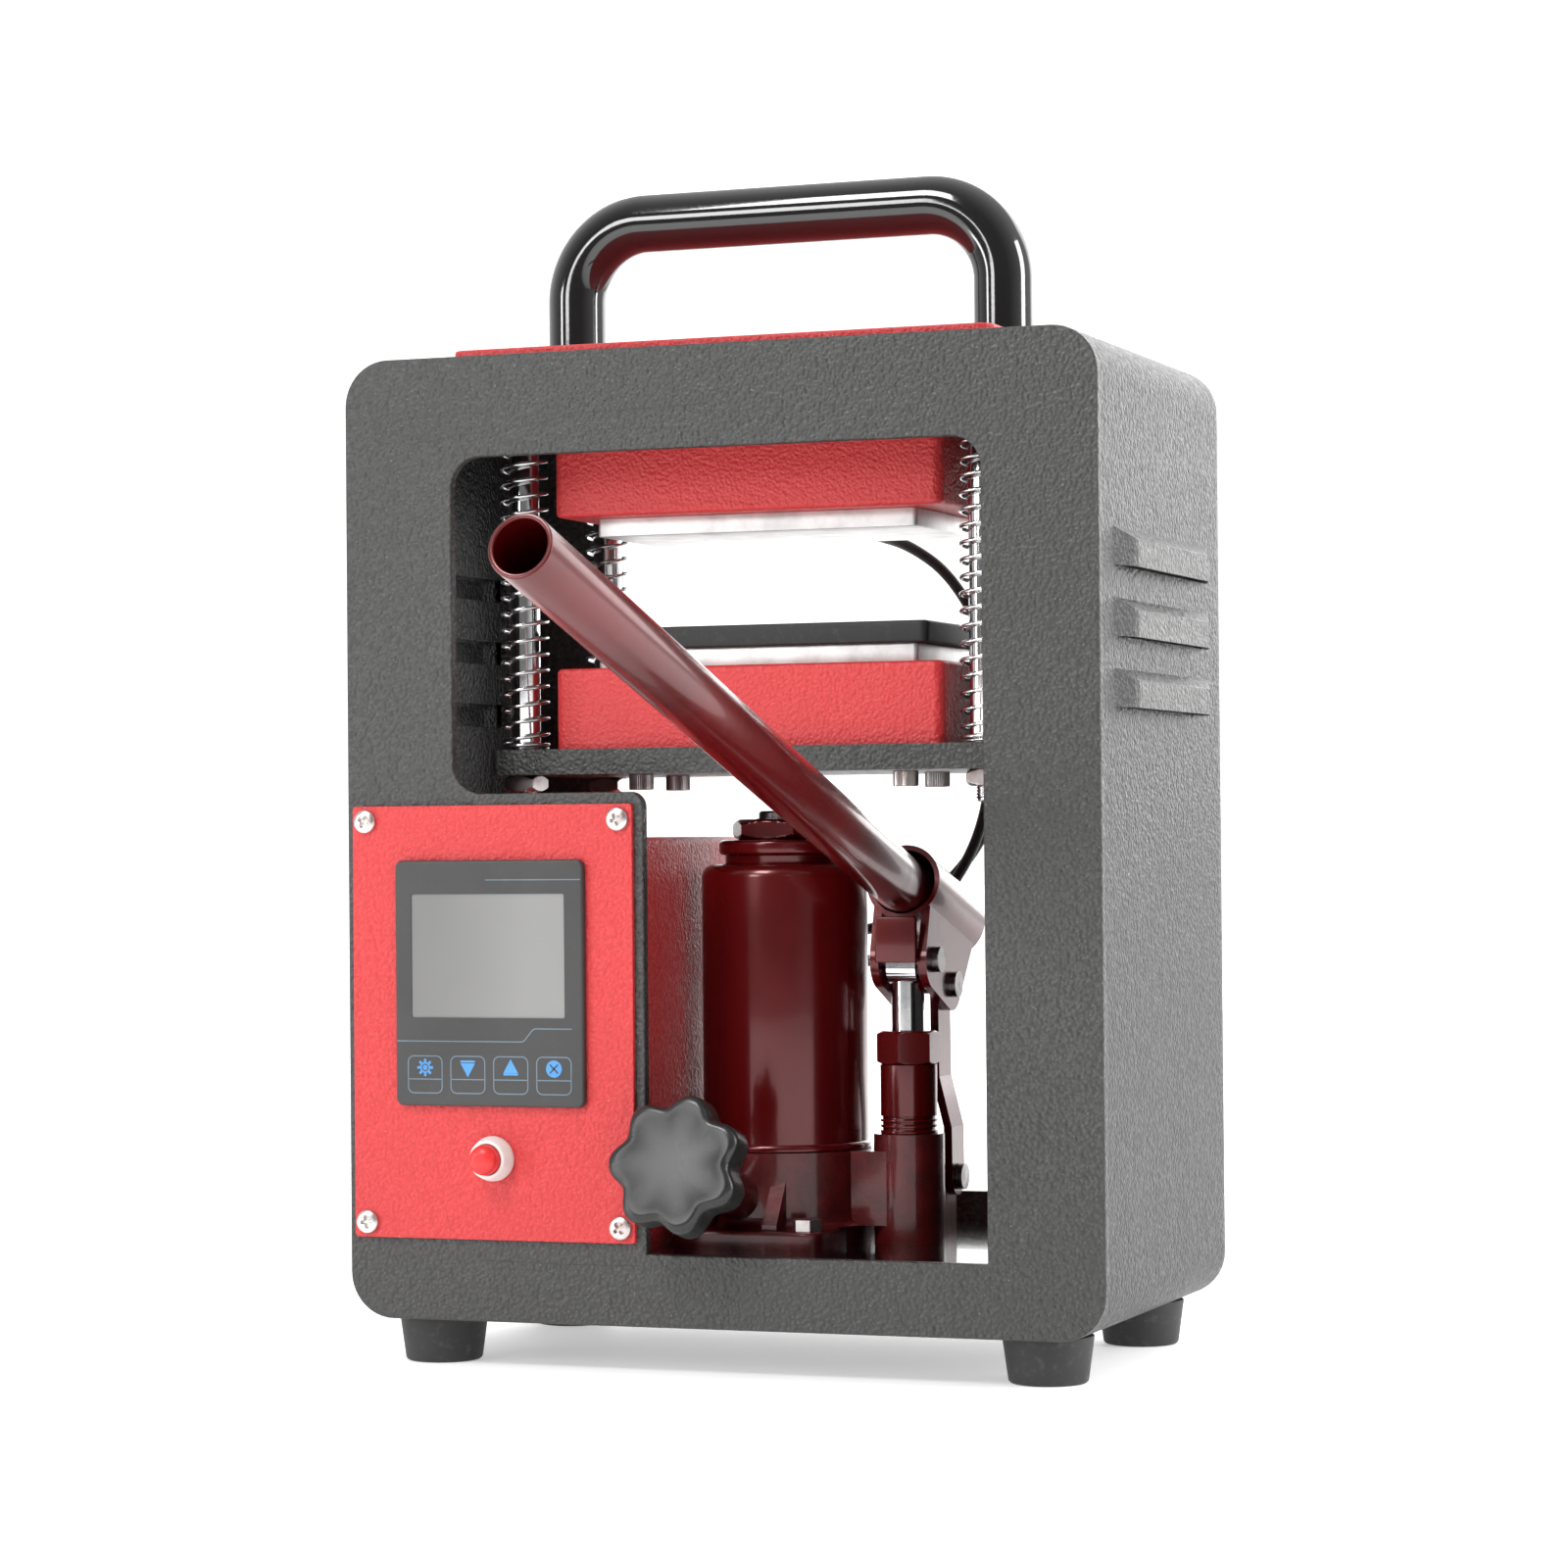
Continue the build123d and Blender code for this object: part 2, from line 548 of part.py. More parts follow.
def platen_cover(z0, height, open_top):
    """A sheet box round one platen, with a window where its heating element shows."""
    y0 = PRESS_Y - PLATEN_D / 2
    y1 = PRESS_Y + PLATEN_D / 2
    half = PLATEN_W / 2
    skin = box(-half, half, y0, y1, z0, z0 + height)
    skin = fillet(skin.edges().filter_by(Axis.Z), PLATEN_R)
    face = skin.faces().sort_by(Axis.Z)[-1 if open_top else 0]
    skin = fillet(face.edges(), PLATEN_R / 2)
    t = PLATEN_SHEET
    skin -= box(-half + t, half - t, y0 + t, y1 - t, z0 + t, z0 + height - t)
    window_z = (z0 + height - t, z0 + height) if open_top else (z0, z0 + t)
    skin -= heating_element(*window_z)
    return skin


def heating_element(z0, z1):
    """The flat heating element's block, centred behind its plate."""
    half_x = HEAT_W / 2 - ELEMENT_MARGIN
    half_y = HEAT_D / 2 - ELEMENT_MARGIN
    return box(-half_x, half_x, PRESS_Y - half_y, PRESS_Y + half_y, z0, z1)


def heat_plate(z0):
    """An aluminium plate with softly broken corners."""
    plate = box(-HEAT_W / 2, HEAT_W / 2, PRESS_Y - HEAT_D / 2, PRESS_Y + HEAT_D / 2, z0, z0 + HEAT_T)
    return fillet(plate.edges().filter_by(Axis.Z), 1.0)


def drilled(shape, radius, z0, z1):
    """The shape with the platen screws' four holes."""
    for x, y in SCREW_PLACES:
        shape -= post(radius, z0, z1, x, y)
    return shape


def make_platens():
    """Both platens: cover, insulation, element, aluminium plate, screws; the pad lies on the lower one."""
    hole = PLATEN_SCREW_R + SCREW_FIT
    t = PLATEN_SHEET
    pack_x = PLATEN_W / 2 - t - 0.5
    pack_y = PLATEN_D / 2 - t - 0.5
    cover_top = HEAD_Z
    depth = HEAT_T / 2

    save("upper_platen_cover", drilled(platen_cover(UPPER_COVER_Z, UPPER_COVER_H, False), hole, UPPER_COVER_Z, cover_top))
    pack = box(-pack_x, pack_x, PRESS_Y - pack_y, PRESS_Y + pack_y, UPPER_COVER_Z + t, UPPER_COVER_Z + t + INSULATION_H)
    save("upper_insulation", drilled(pack, hole, UPPER_COVER_Z, cover_top))
    save("upper_element", drilled(heating_element(UPPER_COVER_Z, UPPER_COVER_Z + t), hole, UPPER_COVER_Z, cover_top))
    save("upper_heat_plate", drilled(heat_plate(UPPER_PLATE_Z), hole, UPPER_COVER_Z - depth, UPPER_COVER_Z))
    shank = HEAD_TOP - UPPER_COVER_Z + depth - 0.5
    save("upper_platen_screws", *[socket_screw(x, y, HEAD_TOP, -1, shank) for x, y in SCREW_PLACES])

    save("lower_platen_cover", drilled(platen_cover(LIFT_TOP, LOWER_COVER_H, True), hole, LIFT_TOP, LOWER_PLATE_Z))
    pack_z = LOWER_PLATE_Z - t
    pack = box(-pack_x, pack_x, PRESS_Y - pack_y, PRESS_Y + pack_y, pack_z - INSULATION_H, pack_z)
    save("lower_insulation", drilled(pack, hole, LIFT_TOP, LOWER_PLATE_Z))
    save("lower_element", drilled(heating_element(pack_z, LOWER_PLATE_Z), hole, LIFT_TOP, LOWER_PLATE_Z))
    save("lower_heat_plate", drilled(heat_plate(LOWER_PLATE_Z), hole, LOWER_PLATE_Z, LOWER_PLATE_Z + depth))
    shank = LOWER_PLATE_Z - LIFT_Z + depth - 0.5
    save("lower_platen_screws", *[socket_screw(x, y, LIFT_Z, 1, shank) for x, y in SCREW_PLACES])
    pad = box(-PAD_W / 2, PAD_W / 2, PRESS_Y - PAD_D / 2, PRESS_Y + PAD_D / 2, PAD_Z, PAD_Z + PAD_T)
    save("silicone_pad", fillet(pad.edges().filter_by(Axis.Z), 2.0))


# ---------------------------------------------------------------- controls
def make_panel():
    """Red panel with the controller, the push button and four cross-recess screws."""
    outline = rectangle(PANEL_X0, PANEL_X1, PANEL_Z, PANEL_Z + PANEL_H, 1.5)
    panel = round_front(slab_y(outline, -PANEL_T, 0), 0.4)
    case = rectangle(
        BEZEL_X - CASE_W / 2, BEZEL_X + CASE_W / 2, BEZEL_MID_Z - CASE_H / 2, BEZEL_MID_Z + CASE_H / 2, 1.0
    )
    panel -= slab_y(case, -PANEL_T, 0)
    panel -= rod_y(BUTTON_BARREL_R + 0.1, -PANEL_T, 0, BUTTON_X, BUTTON_Z)
    screws = []
    for x, z in PANEL_SCREWS:
        panel -= rod_y(PANEL_SCREW_R + SCREW_FIT, -PANEL_T, 0, x, z)
        head = rod_y(PANEL_SCREW_HEAD_R, -PANEL_T - 2.4, -PANEL_T, x, z)
        head = fillet(head.faces().sort_by(Axis.Y)[0].edges(), 1.6)
        for turn in (45, 135):
            head -= Pos(x, -PANEL_T - 2.0, z) * Rot(0, turn, 0) * Box(4.6, 1.6, 0.9)
        screws.append(head + rod_y(PANEL_SCREW_R, -PANEL_T, PLATE_T, x, z))
    save("control_panel", panel)
    save("panel_screws", *screws)

    bezel_face = -PANEL_T - BEZEL_T
    outline = rectangle(
        BEZEL_X - BEZEL_W / 2, BEZEL_X + BEZEL_W / 2, BEZEL_Z, BEZEL_Z + BEZEL_H, 3.0
    )
    bezel = round_front(slab_y(outline, bezel_face, -PANEL_T), 1.0)
    screen_x = BEZEL_X - BEZEL_W / 2 + SCREEN_LEFT
    screen_z = BEZEL_Z + SCREEN_RISE
    screen = rectangle(screen_x, screen_x + SCREEN_W, screen_z, screen_z + SCREEN_H, 0.8)
    bezel -= slab_y(screen, bezel_face, bezel_face + SCREEN_RECESS)
    save("controller_bezel", bezel)
    save("controller_screen", slab_y(screen, bezel_face + SCREEN_RECESS - SCREEN_T, bezel_face + SCREEN_RECESS))
    block = slab_y(case, -PANEL_T, -PANEL_T + CASE_D)
    hollow = box(
        BEZEL_X - CASE_W / 2 + 2.0, BEZEL_X + CASE_W / 2 - 2.0, 0.0, -PANEL_T + CASE_D - 2.0,
        BEZEL_MID_Z - CASE_H / 2 + 2.0, BEZEL_MID_Z + CASE_H / 2 - 2.0,
    )
    save("controller_case", block - hollow)


def make_button():
    """White tapered flange and barrel, sprung red cap, ring nut behind the plate, contact block."""
    barrel_end = -PANEL_T + BUTTON_BARREL_L
    taper = Cone(BUTTON_FLANGE_R, BUTTON_FLANGE_TIP_R, BUTTON_FLANGE_T)
    flange = Pos(BUTTON_X, -PANEL_T - BUTTON_FLANGE_T / 2, BUTTON_Z) * Rot(90, 0, 0) * taper
    ring = flange + rod_y(BUTTON_BARREL_R, -PANEL_T, barrel_end, BUTTON_X, BUTTON_Z)
    bore_r = BUTTON_CAP_R + SIDE_GAP
    ring -= rod_y(bore_r, -PANEL_T - BUTTON_FLANGE_T, barrel_end - 2.0, BUTTON_X, BUTTON_Z)
    contacts = box(BUTTON_X - 7, BUTTON_X + 7, barrel_end, barrel_end + 11, BUTTON_Z - 7, BUTTON_Z + 7)
    save("button_body", ring, contacts)
    cap = rod_y(BUTTON_CAP_R, -PANEL_T - BUTTON_PROUD, BUTTON_SKIRT, BUTTON_X, BUTTON_Z)
    save("button_cap", fillet(cap.faces().sort_by(Axis.Y)[0].edges(), BUTTON_CAP_R * 0.7))
    hexagon = Pos(BUTTON_X, BUTTON_Z) * RegularPolygon(BUTTON_NUT_AF / 2, 6, major_radius=False)
    nut = slab_y(hexagon, PLATE_T, PLATE_T + 4.0)
    save("button_nut", nut - rod_y(BUTTON_BARREL_R, PLATE_T, PLATE_T + 4.0, BUTTON_X, BUTTON_Z))


def make_control_box():
    """Sheet cover round the electrics, relays on the floor, grommets where the leads leave."""
    t = BOX_SHEET
    cover = box(-INNER_X, BOX_X1, SHELL_Y0, BOX_BACK, FLOOR_TOP, BOX_TOP)
    top_edge = cover.edges().filter_by(Axis.Y).sort_by_distance((BOX_X1, BOX_BACK / 2, BOX_TOP))[0]
    cover = fillet(top_edge, 3.0)
    cover -= box(-INNER_X, BOX_X1 - t, SHELL_Y0, BOX_BACK - t, FLOOR_TOP, BOX_TOP - t)
    grommets = []
    for route in (UPPER_LEAD, LOWER_LEAD):
        _, y, z = route[-1]
        cover -= rod_x(GROMMET_R - 1.0, BOX_X1 - t, BOX_X1, y, z)
        ring = rod_x(GROMMET_R, BOX_X1 - t - 1.5, BOX_X1 - t, y, z) + rod_x(GROMMET_R, BOX_X1, BOX_X1 + 1.5, y, z)
        ring += rod_x(GROMMET_R - 1.0, BOX_X1 - t, BOX_X1, y, z)
        grommets.append(ring - rod_x(LEAD_R, BOX_X1 - t - 1.5, BOX_X1 + 1.5, y, z))
    for x, (width, height) in ((INLET_X, INLET_HOLE), (SWITCH_X, SWITCH_HOLE)):
        cover -= slab_y(rectangle(x - width / 2, x + width / 2, POWER_Z - height / 2, POWER_Z + height / 2), BOX_BACK - t, BOX_BACK)
    save("control_box_cover", cover)
    save("lead_grommets", *grommets)
    width, depth, height = RELAY_SIZE
    relays = []
    for x in (-INNER_X + 6.0, -INNER_X + 12.0 + width):
        relay = box(x, x + width, 70.0, 70.0 + depth, FLOOR_TOP, FLOOR_TOP + height)
        relays.append(fillet(relay.edges().filter_by(Axis.Z), 3.0))
    save("solid_state_relays", *relays)


def flanged_block(x, hole, depth):
    """A part snapped into the box's back wall: a flange outside it and a body through it."""
    width, height = hole
    grow = POWER_FLANGE
    rim = rectangle(x - width / 2 - grow, x + width / 2 + grow, POWER_Z - height / 2 - grow, POWER_Z + height / 2 + grow, 2.0)
    body = rectangle(x - width / 2, x + width / 2, POWER_Z - height / 2, POWER_Z + height / 2)
    rim_solid = slab_y(rim, BOX_BACK, POWER_FACE)
    rim_solid = fillet(rim_solid.faces().sort_by(Axis.Y)[-1].edges(), 0.6)
    return rim_solid + slab_y(body, BOX_BACK - depth, BOX_BACK)


def make_power():
    """Mains inlet with three blades, and a rocker switch beside it."""
    width, height, depth = INLET_CAVITY
    mouth = rectangle(INLET_X - width / 2, INLET_X + width / 2, POWER_Z - height / 2, POWER_Z + height / 2, 3.0)
    inlet = flanged_block(INLET_X, INLET_HOLE, 22.0) - slab_y(mouth, POWER_FACE - depth, POWER_FACE)
    blades = [
        box(INLET_X + x - 1.0, INLET_X + x + 1.0, POWER_FACE - depth, POWER_FACE - 3.0, POWER_Z + z - 2.0, POWER_Z + z + 2.0)
        for x, z in ((-7.0, 0.0), (0.0, 3.5), (7.0, 0.0))
    ]
    save("power_inlet", inlet, *blades)

    width, height = SWITCH_CAVITY
    pivot_y = BOX_BACK - 1.7
    mouth = rectangle(SWITCH_X - width / 2, SWITCH_X + width / 2, POWER_Z - height / 2, POWER_Z + height / 2)
    holder = flanged_block(SWITCH_X, SWITCH_HOLE, 20.0) - slab_y(mouth, BOX_BACK - 12.0, POWER_FACE)
    trunnion = rod_x(1.0, SWITCH_X - width / 2 - 0.9, SWITCH_X + width / 2 + 0.9, pivot_y, POWER_Z)
    save("switch_holder", holder - rod_x(1.0 + RUN_FIT, SWITCH_X - width / 2 - 1.0, SWITCH_X + width / 2 + 1.0, pivot_y, POWER_Z))
    profile = Polygon((3.2, -9.7), (1.4, 0.0), (3.2, 9.7), (-1.5, 9.9), (-7.0, 0.0), (-1.5, -9.9), align=None)
    turned = Pos(pivot_y, POWER_Z) * Rot(0, 0, ROCKER_TILT) * profile
    paddle = slab_x(turned, SWITCH_X - width / 2 + SIDE_GAP, SWITCH_X + width / 2 - SIDE_GAP)
    save("power_rocker", paddle + trunnion)


# ---------------------------------------------------------------- bottle jack
def base_bolt_places():
    """The four bolts at the corners of the jack's flange."""
    ys = (JACK_BASE_FRONT + BASE_BOLT_INSET, JACK_BASE_BACK - BASE_BOLT_INSET)
    return [(x, y) for x in (-BASE_BOLT_X, BASE_BOLT_X) for y in ys]


def make_jack():
    """Cast base, reservoir, cylinder, cap nut, ram with its saddle, oil plug."""
    mid_y = (JACK_BASE_FRONT + JACK_BASE_BACK) / 2
    outline = Pos(0, mid_y) * RectangleRounded(2 * JACK_BASE_X, JACK_BASE_BACK - JACK_BASE_FRONT, 7.0)
    base = Pos(0, 0, FLOOR_TOP) * extrude(outline, amount=JACK_FLANGE_T)
    base = fillet(base.faces().sort_by(Axis.Z)[-1].edges(), 1.5)
    base += post(JACK_BOSS_R, FLOOR_TOP, JACK_BASE_TOP, 0, JACK_Y)
    rib_top = JACK_BASE_TOP - 6.0
    for end, direction in ((JACK_BASE_FRONT, -1), (JACK_BASE_BACK, 1)):
        for x in (-BASE_BOLT_X + 9.0, BASE_BOLT_X - 9.0):
            foot_y = end - direction * 6.0
            rib = Polygon((JACK_Y, FLOOR_TOP), (foot_y, FLOOR_TOP + 5.0), (foot_y, JACK_FLANGE_TOP + 2.0),
                          (JACK_Y + direction * JACK_BOSS_R * 0.85, rib_top), (JACK_Y, rib_top), align=None)
            base += slab_x(rib, x - RIB_T / 2, x + RIB_T / 2)
    base += post(PUMP_BOSS_R, FLOOR_TOP, PUMP_BOSS_TOP, PUMP_X, PUMP_Y)
    base += box(JACK_BOSS_R * 0.6, PUMP_X, PUMP_Y - 13.0, PUMP_Y + 13.0, JACK_FLANGE_TOP, JACK_BASE_TOP)
    foot_y, foot_z = LINK_FOOT
    lug = rectangle(PUMP_Y, foot_y + 8.0, FLOOR_TOP, foot_z) + Pos(foot_y, foot_z) * Circle(8.0)
    base += slab_x(lug, PUMP_X - LUG_HALF, PUMP_X + LUG_HALF)
    base += along(VALVE_POINT, -VALVE_AXIS, VALVE_BOSS_START, STEM_L + 6.0, VALVE_BOSS_R)
    base -= along(VALVE_POINT, -VALVE_AXIS, VALVE_BOSS_START, STEM_L + 0.5, STEM_R + RUN_FIT)
    base -= post(CYLINDER_R, FLOOR_TOP + CYLINDER_SEAT, JACK_BASE_TOP, 0, JACK_Y)
    spigot_z = PUMP_BOSS_TOP - PUMP_SPIGOT_L
    base -= post(PUMP_SPIGOT_R, spigot_z, PUMP_BOSS_TOP, PUMP_X, PUMP_Y)
    base -= rod_x(PIN_R + RUN_FIT, PUMP_X - LUG_HALF, PUMP_X + LUG_HALF, foot_y, foot_z)
    bolts = []
    for x, y in base_bolt_places():
        base -= post(BASE_BOLT_R + SCREW_FIT, FLOOR_TOP, JACK_FLANGE_TOP, x, y)
        base -= post(BASE_BOLT_AF * 0.8, JACK_FLANGE_TOP, JACK_FLANGE_TOP + 9.0, x, y)
        bolts.append(
            prism(6, BASE_BOLT_AF, JACK_FLANGE_TOP, JACK_FLANGE_TOP + 4.5, x, y)
            + post(BASE_BOLT_R, FLOOR_TOP - FLOOR_T - 4.0, JACK_FLANGE_TOP, x, y)
        )
    save("jack_base", base)
    save("base_bolts", *bolts)

    tank = post(RESERVOIR_R, JACK_BASE_TOP, RESERVOIR_TOP, 0, JACK_Y)
    tank = fillet(tank.faces().sort_by(Axis.Z)[-1].edges(), 4.0)
    inner_r = RESERVOIR_R - RESERVOIR_WALL
    tank -= post(inner_r, JACK_BASE_TOP, RESERVOIR_TOP - RESERVOIR_WALL - 1.0, 0, JACK_Y)
    tank -= post(CYLINDER_R + 1.0, JACK_BASE_TOP, RESERVOIR_TOP, 0, JACK_Y)
    plug_z = RESERVOIR_TOP - 18.0
    tank -= rod_y(4.0, JACK_Y, JACK_Y + RESERVOIR_R + 1.0, 0, plug_z)
    save("reservoir_tube", tank)
    plug_y = JACK_Y + RESERVOIR_R
    save("oil_plug", rod_y(3.9, plug_y - 4.0, plug_y, 0, plug_z) + rod_y(6.0, plug_y, plug_y + 2.5, 0, plug_z))
    cylinder_top = RESERVOIR_TOP - 5.0
    seat = FLOOR_TOP + CYLINDER_SEAT
    save(
        "jack_cylinder",
        post(CYLINDER_R, seat, cylinder_top, 0, JACK_Y) - post(CYLINDER_BORE_R, seat, cylinder_top, 0, JACK_Y),
    )

    cap = post(CYLINDER_BORE_R - SCREW_FIT, cylinder_top - 8.0, RESERVOIR_TOP, 0, JACK_Y)
    cap += post(CAP_RING_R - 2.5, RESERVOIR_TOP, CAP_RING_Z, 0, JACK_Y)
    ring = post(CAP_RING_R, CAP_RING_Z, CAP_HEX_Z, 0, JACK_Y)
    cap += fillet(ring.edges().filter_by(GeomType.CIRCLE), 1.5)
    cap += prism(6, CAP_HEX_AF, CAP_HEX_Z, CAP_TOP, 0, JACK_Y, 30.0)
    cap -= post(RAM_R + RUN_FIT, cylinder_top - 8.0, CAP_TOP, 0, JACK_Y)
    save("jack_cap_nut", cap)

    ram_z = FLOOR_TOP + RAM_BASE
    ram = post(CYLINDER_BORE_R - RUN_FIT, ram_z, ram_z + PISTON_H, 0, JACK_Y)
    ram += post(RAM_R, ram_z + PISTON_H, RAM_TOP, 0, JACK_Y)
    ram -= post(SADDLE_SCREW_R, RAM_TOP - SADDLE_SCREW_L, RAM_TOP, 0, JACK_Y)
    save("ram", ram)
    saddle = chamfer(post(SADDLE_R, RAM_TOP, RAM_TOP + SADDLE_H, 0, JACK_Y).faces().sort_by(Axis.Z)[-1].edges(), 0.8)
    for turn in (0, 90):
        saddle -= Pos(0, JACK_Y, RAM_TOP + SADDLE_H) * Rot(0, 0, turn) * Box(2 * SADDLE_R, 1.6, 1.4)
    saddle += post(SADDLE_SCREW_R - SCREW_FIT, RAM_TOP - SADDLE_SCREW_L + 1.0, RAM_TOP, 0, JACK_Y)
    save("ram_saddle", saddle)


def make_pump():
    """Pump body with its hexagon, plunger with a slotted eye, links, handle socket and pins."""
    spigot_z = PUMP_BOSS_TOP - PUMP_SPIGOT_L
    pump = post(PUMP_SPIGOT_R, spigot_z, PUMP_BOSS_TOP, PUMP_X, PUMP_Y)
    barrel = post(PUMP_R, PUMP_BOSS_TOP, PUMP_HEX_Z, PUMP_X, PUMP_Y)
    for step in range(3):
        z = PUMP_BOSS_TOP + 1.4 + 2.2 * step
        barrel -= post(PUMP_R + 1, z, z + 1.1, PUMP_X, PUMP_Y) - post(PUMP_R - 0.8, z, z + 1.1, PUMP_X, PUMP_Y)
    pump += barrel + prism(6, PUMP_HEX_AF, PUMP_HEX_Z, PUMP_TOP, PUMP_X, PUMP_Y, 0.0)
    pump -= post(PLUNGER_R + RUN_FIT, spigot_z + 2.0, PUMP_TOP, PUMP_X, PUMP_Y)
    save("pump_body", pump)

    eye_z = PLUNGER_PIN_Z
    tongue_z = eye_z - TONGUE_W / 2 - 0.5
    plunger = post(PLUNGER_R, PLUNGER_FOOT, tongue_z + 4.0, PUMP_X, PUMP_Y)
    eye = Pos(PUMP_Y, eye_z) * RectangleRounded(TONGUE_W, TONGUE_W + 1.0, 6.0)
    eye -= Pos(PUMP_Y, eye_z) * SlotOverall(2 * (PIN_R + SLOT_PLAY_Y), 2 * (PIN_R + SLOT_PLAY_Z))
    plunger = plunger - box(PUMP_X - 20, PUMP_X + 20, PUMP_Y - 20, PUMP_Y + 20, tongue_z + 2.0, tongue_z + 30.0)
    plunger += slab_x(eye, PUMP_X - TONGUE_HALF, PUMP_X + TONGUE_HALF)
    save("pump_plunger", plunger)

    top_y, top_z = FULCRUM
    foot_y, foot_z = LINK_FOOT
    high, low = LINK_JOGGLE
    up_x = LINK_UPPER_GAP
    down_x = LINK_LOWER_GAP
    ends = Pos(top_y, top_z) * Circle(LINK_W / 2) + Pos(foot_y, foot_z) * Circle(LINK_W / 2)
    side_view = make_hull(ends.edges())
    links = []
    for side in (-1, 1):
        strap = Polygon(
            (up_x, top_z + LINK_W), (up_x, high), (down_x, low), (down_x, foot_z - LINK_W),
            (down_x + LINK_T, foot_z - LINK_W), (down_x + LINK_T, low), (up_x + LINK_T, high),
            (up_x + LINK_T, top_z + LINK_W), align=None,
        )
        strap = Pos(PUMP_X, 0, 0) * slab_y(strap if side > 0 else mirror(strap, about=Plane.YZ), 0.0, BODY_D)
        strap = strap & slab_x(side_view, PUMP_X - 2 * SOCKET_R, PUMP_X + 2 * SOCKET_R)
        for y, z in (FULCRUM, LINK_FOOT):
            strap -= rod_x(PIN_R + RUN_FIT, PUMP_X - 2 * SOCKET_R, PUMP_X + 2 * SOCKET_R, y, z)
        links.append(strap)
    save("link_bars", *links)
    reach = LINK_LOWER_GAP + LINK_T + SIDE_GAP
    pin = rod_x(PIN_R, PUMP_X - reach, PUMP_X + reach, foot_y, foot_z)
    for side in (-1, 1):
        limits = sorted((PUMP_X + side * reach, PUMP_X + side * (reach + PIN_HEAD_T)))
        pin += rod_x(PIN_HEAD_R, *limits, foot_y, foot_z)
    save("link_base_pin", pin)


def make_handle():
    """Socket with two cheeks and its pins, and the long tube that lies in it."""
    outline = Sketch() + [
        Pos(PUMP_Y, PLUNGER_PIN_Z) * Circle(12.0),
        Pos(*FULCRUM) * Circle(10.5),
        Pos(PUMP_Y - 2.0, PLUNGER_PIN_Z + 21.0) * Circle(4.0),
        Pos(PUMP_Y + 43.0, PLUNGER_PIN_Z + 9.0) * Circle(6.0),
    ]
    side_view = make_hull(outline.edges())
    socket = along(SOCKET_POINT, -HANDLE_AXIS, 0.0, SOCKET_L, SOCKET_R)
    for side in (-1, 1):
        limits = sorted((PUMP_X + side * CHEEK_GAP, PUMP_X + side * (CHEEK_GAP + CHEEK_T)))
        socket += slab_x(side_view, *limits)
    socket -= along(SOCKET_POINT, -HANDLE_AXIS, -2.0, SOCKET_L - 3.0, SOCKET_BORE_R)
    pins = []
    for y, z in ((PUMP_Y, PLUNGER_PIN_Z), FULCRUM):
        socket -= rod_x(PIN_R, PUMP_X - PIN_HALF_L, PUMP_X + PIN_HALF_L, y, z)
        pin = rod_x(PIN_R, PUMP_X - PIN_HALF_L, PUMP_X + PIN_HALF_L, y, z)
        for side in (-1, 1):
            limits = sorted((PUMP_X + side * PIN_HALF_L, PUMP_X + side * (PIN_HALF_L + PIN_HEAD_T)))
            pin += rod_x(PIN_HEAD_R, *limits, y, z)
        pins.append(pin)
    save("handle_socket", socket)
    save("socket_pins", *pins)
    tube = along(HANDLE_POINT, HANDLE_AXIS, -HANDLE_IN, HANDLE_OUT, HANDLE_R)
    tube -= along(HANDLE_POINT, HANDLE_AXIS, -HANDLE_IN, HANDLE_OUT, HANDLE_R - HANDLE_WALL)
    save("handle_tube", tube)


def make_valve():
    """Release valve: a stem on an inclined axis and a star knob."""
    face = Plane(origin=VALVE_POINT, x_dir=(1, 0, 0), z_dir=VALVE_AXIS)
    star = Sketch() + Circle(KNOB_R)
    for lobe in range(KNOB_LOBES):
        turn = 180.0 + 360.0 * (lobe + 0.5) / KNOB_LOBES
        centre = KNOB_R + KNOB_SCALLOP_R - KNOB_SCALLOP_DEPTH
        star -= Rot(0, 0, turn) * Pos(centre, 0) * Circle(KNOB_SCALLOP_R)
    star = fillet(star.vertices(), 3.0)
    knob = extrude(face * star, amount=-KNOB_T)
    knob = fillet(knob.faces().sort_by(Axis(VALVE_POINT, VALVE_AXIS))[-1].edges(), 2.5)
    knob += along(VALVE_POINT, -VALVE_AXIS, KNOB_T - 1.0, KNOB_T + 6.0, STEM_R + 4.0)
    knob -= along(VALVE_POINT, -VALVE_AXIS, 4.0, KNOB_T + 6.0, STEM_R)
    save("star_knob", knob)
    save("valve_stem", along(VALVE_POINT, -VALVE_AXIS, 4.0, STEM_L, STEM_R))


# ---------------------------------------------------------------- leads
def corner_radii(route):
    """Each corner's radius: as large as its two runs allow."""
    points = [Vector(*point) for point in route]
    radii = []
    for before, here, after in zip(points, points[1:], points[2:]):
        shorter = min((here - before).length, (after - here).length)
        turn = (here - before).get_angle(after - here)
        radii.append(0.45 * shorter / tan(radians(turn / 2)))
    return radii


def lead(name, route):
    """A round lead along straight runs joined by arcs."""
    radii = corner_radii(route)
    path = FilletPolyline(*route, radius=radii)
    first = Vector(*route[1]) - Vector(*route[0])
    start = Plane(origin=route[0], z_dir=first)
    tube = sweep(start * Circle(LEAD_R), path)
    expected = 3.14159265 * LEAD_R**2 * path.length
    print(name, "radii", [round(r, 1) for r in radii], "length", round(path.length, 1), "volume", round(tube.volume / expected, 4))
    save(name, tube)


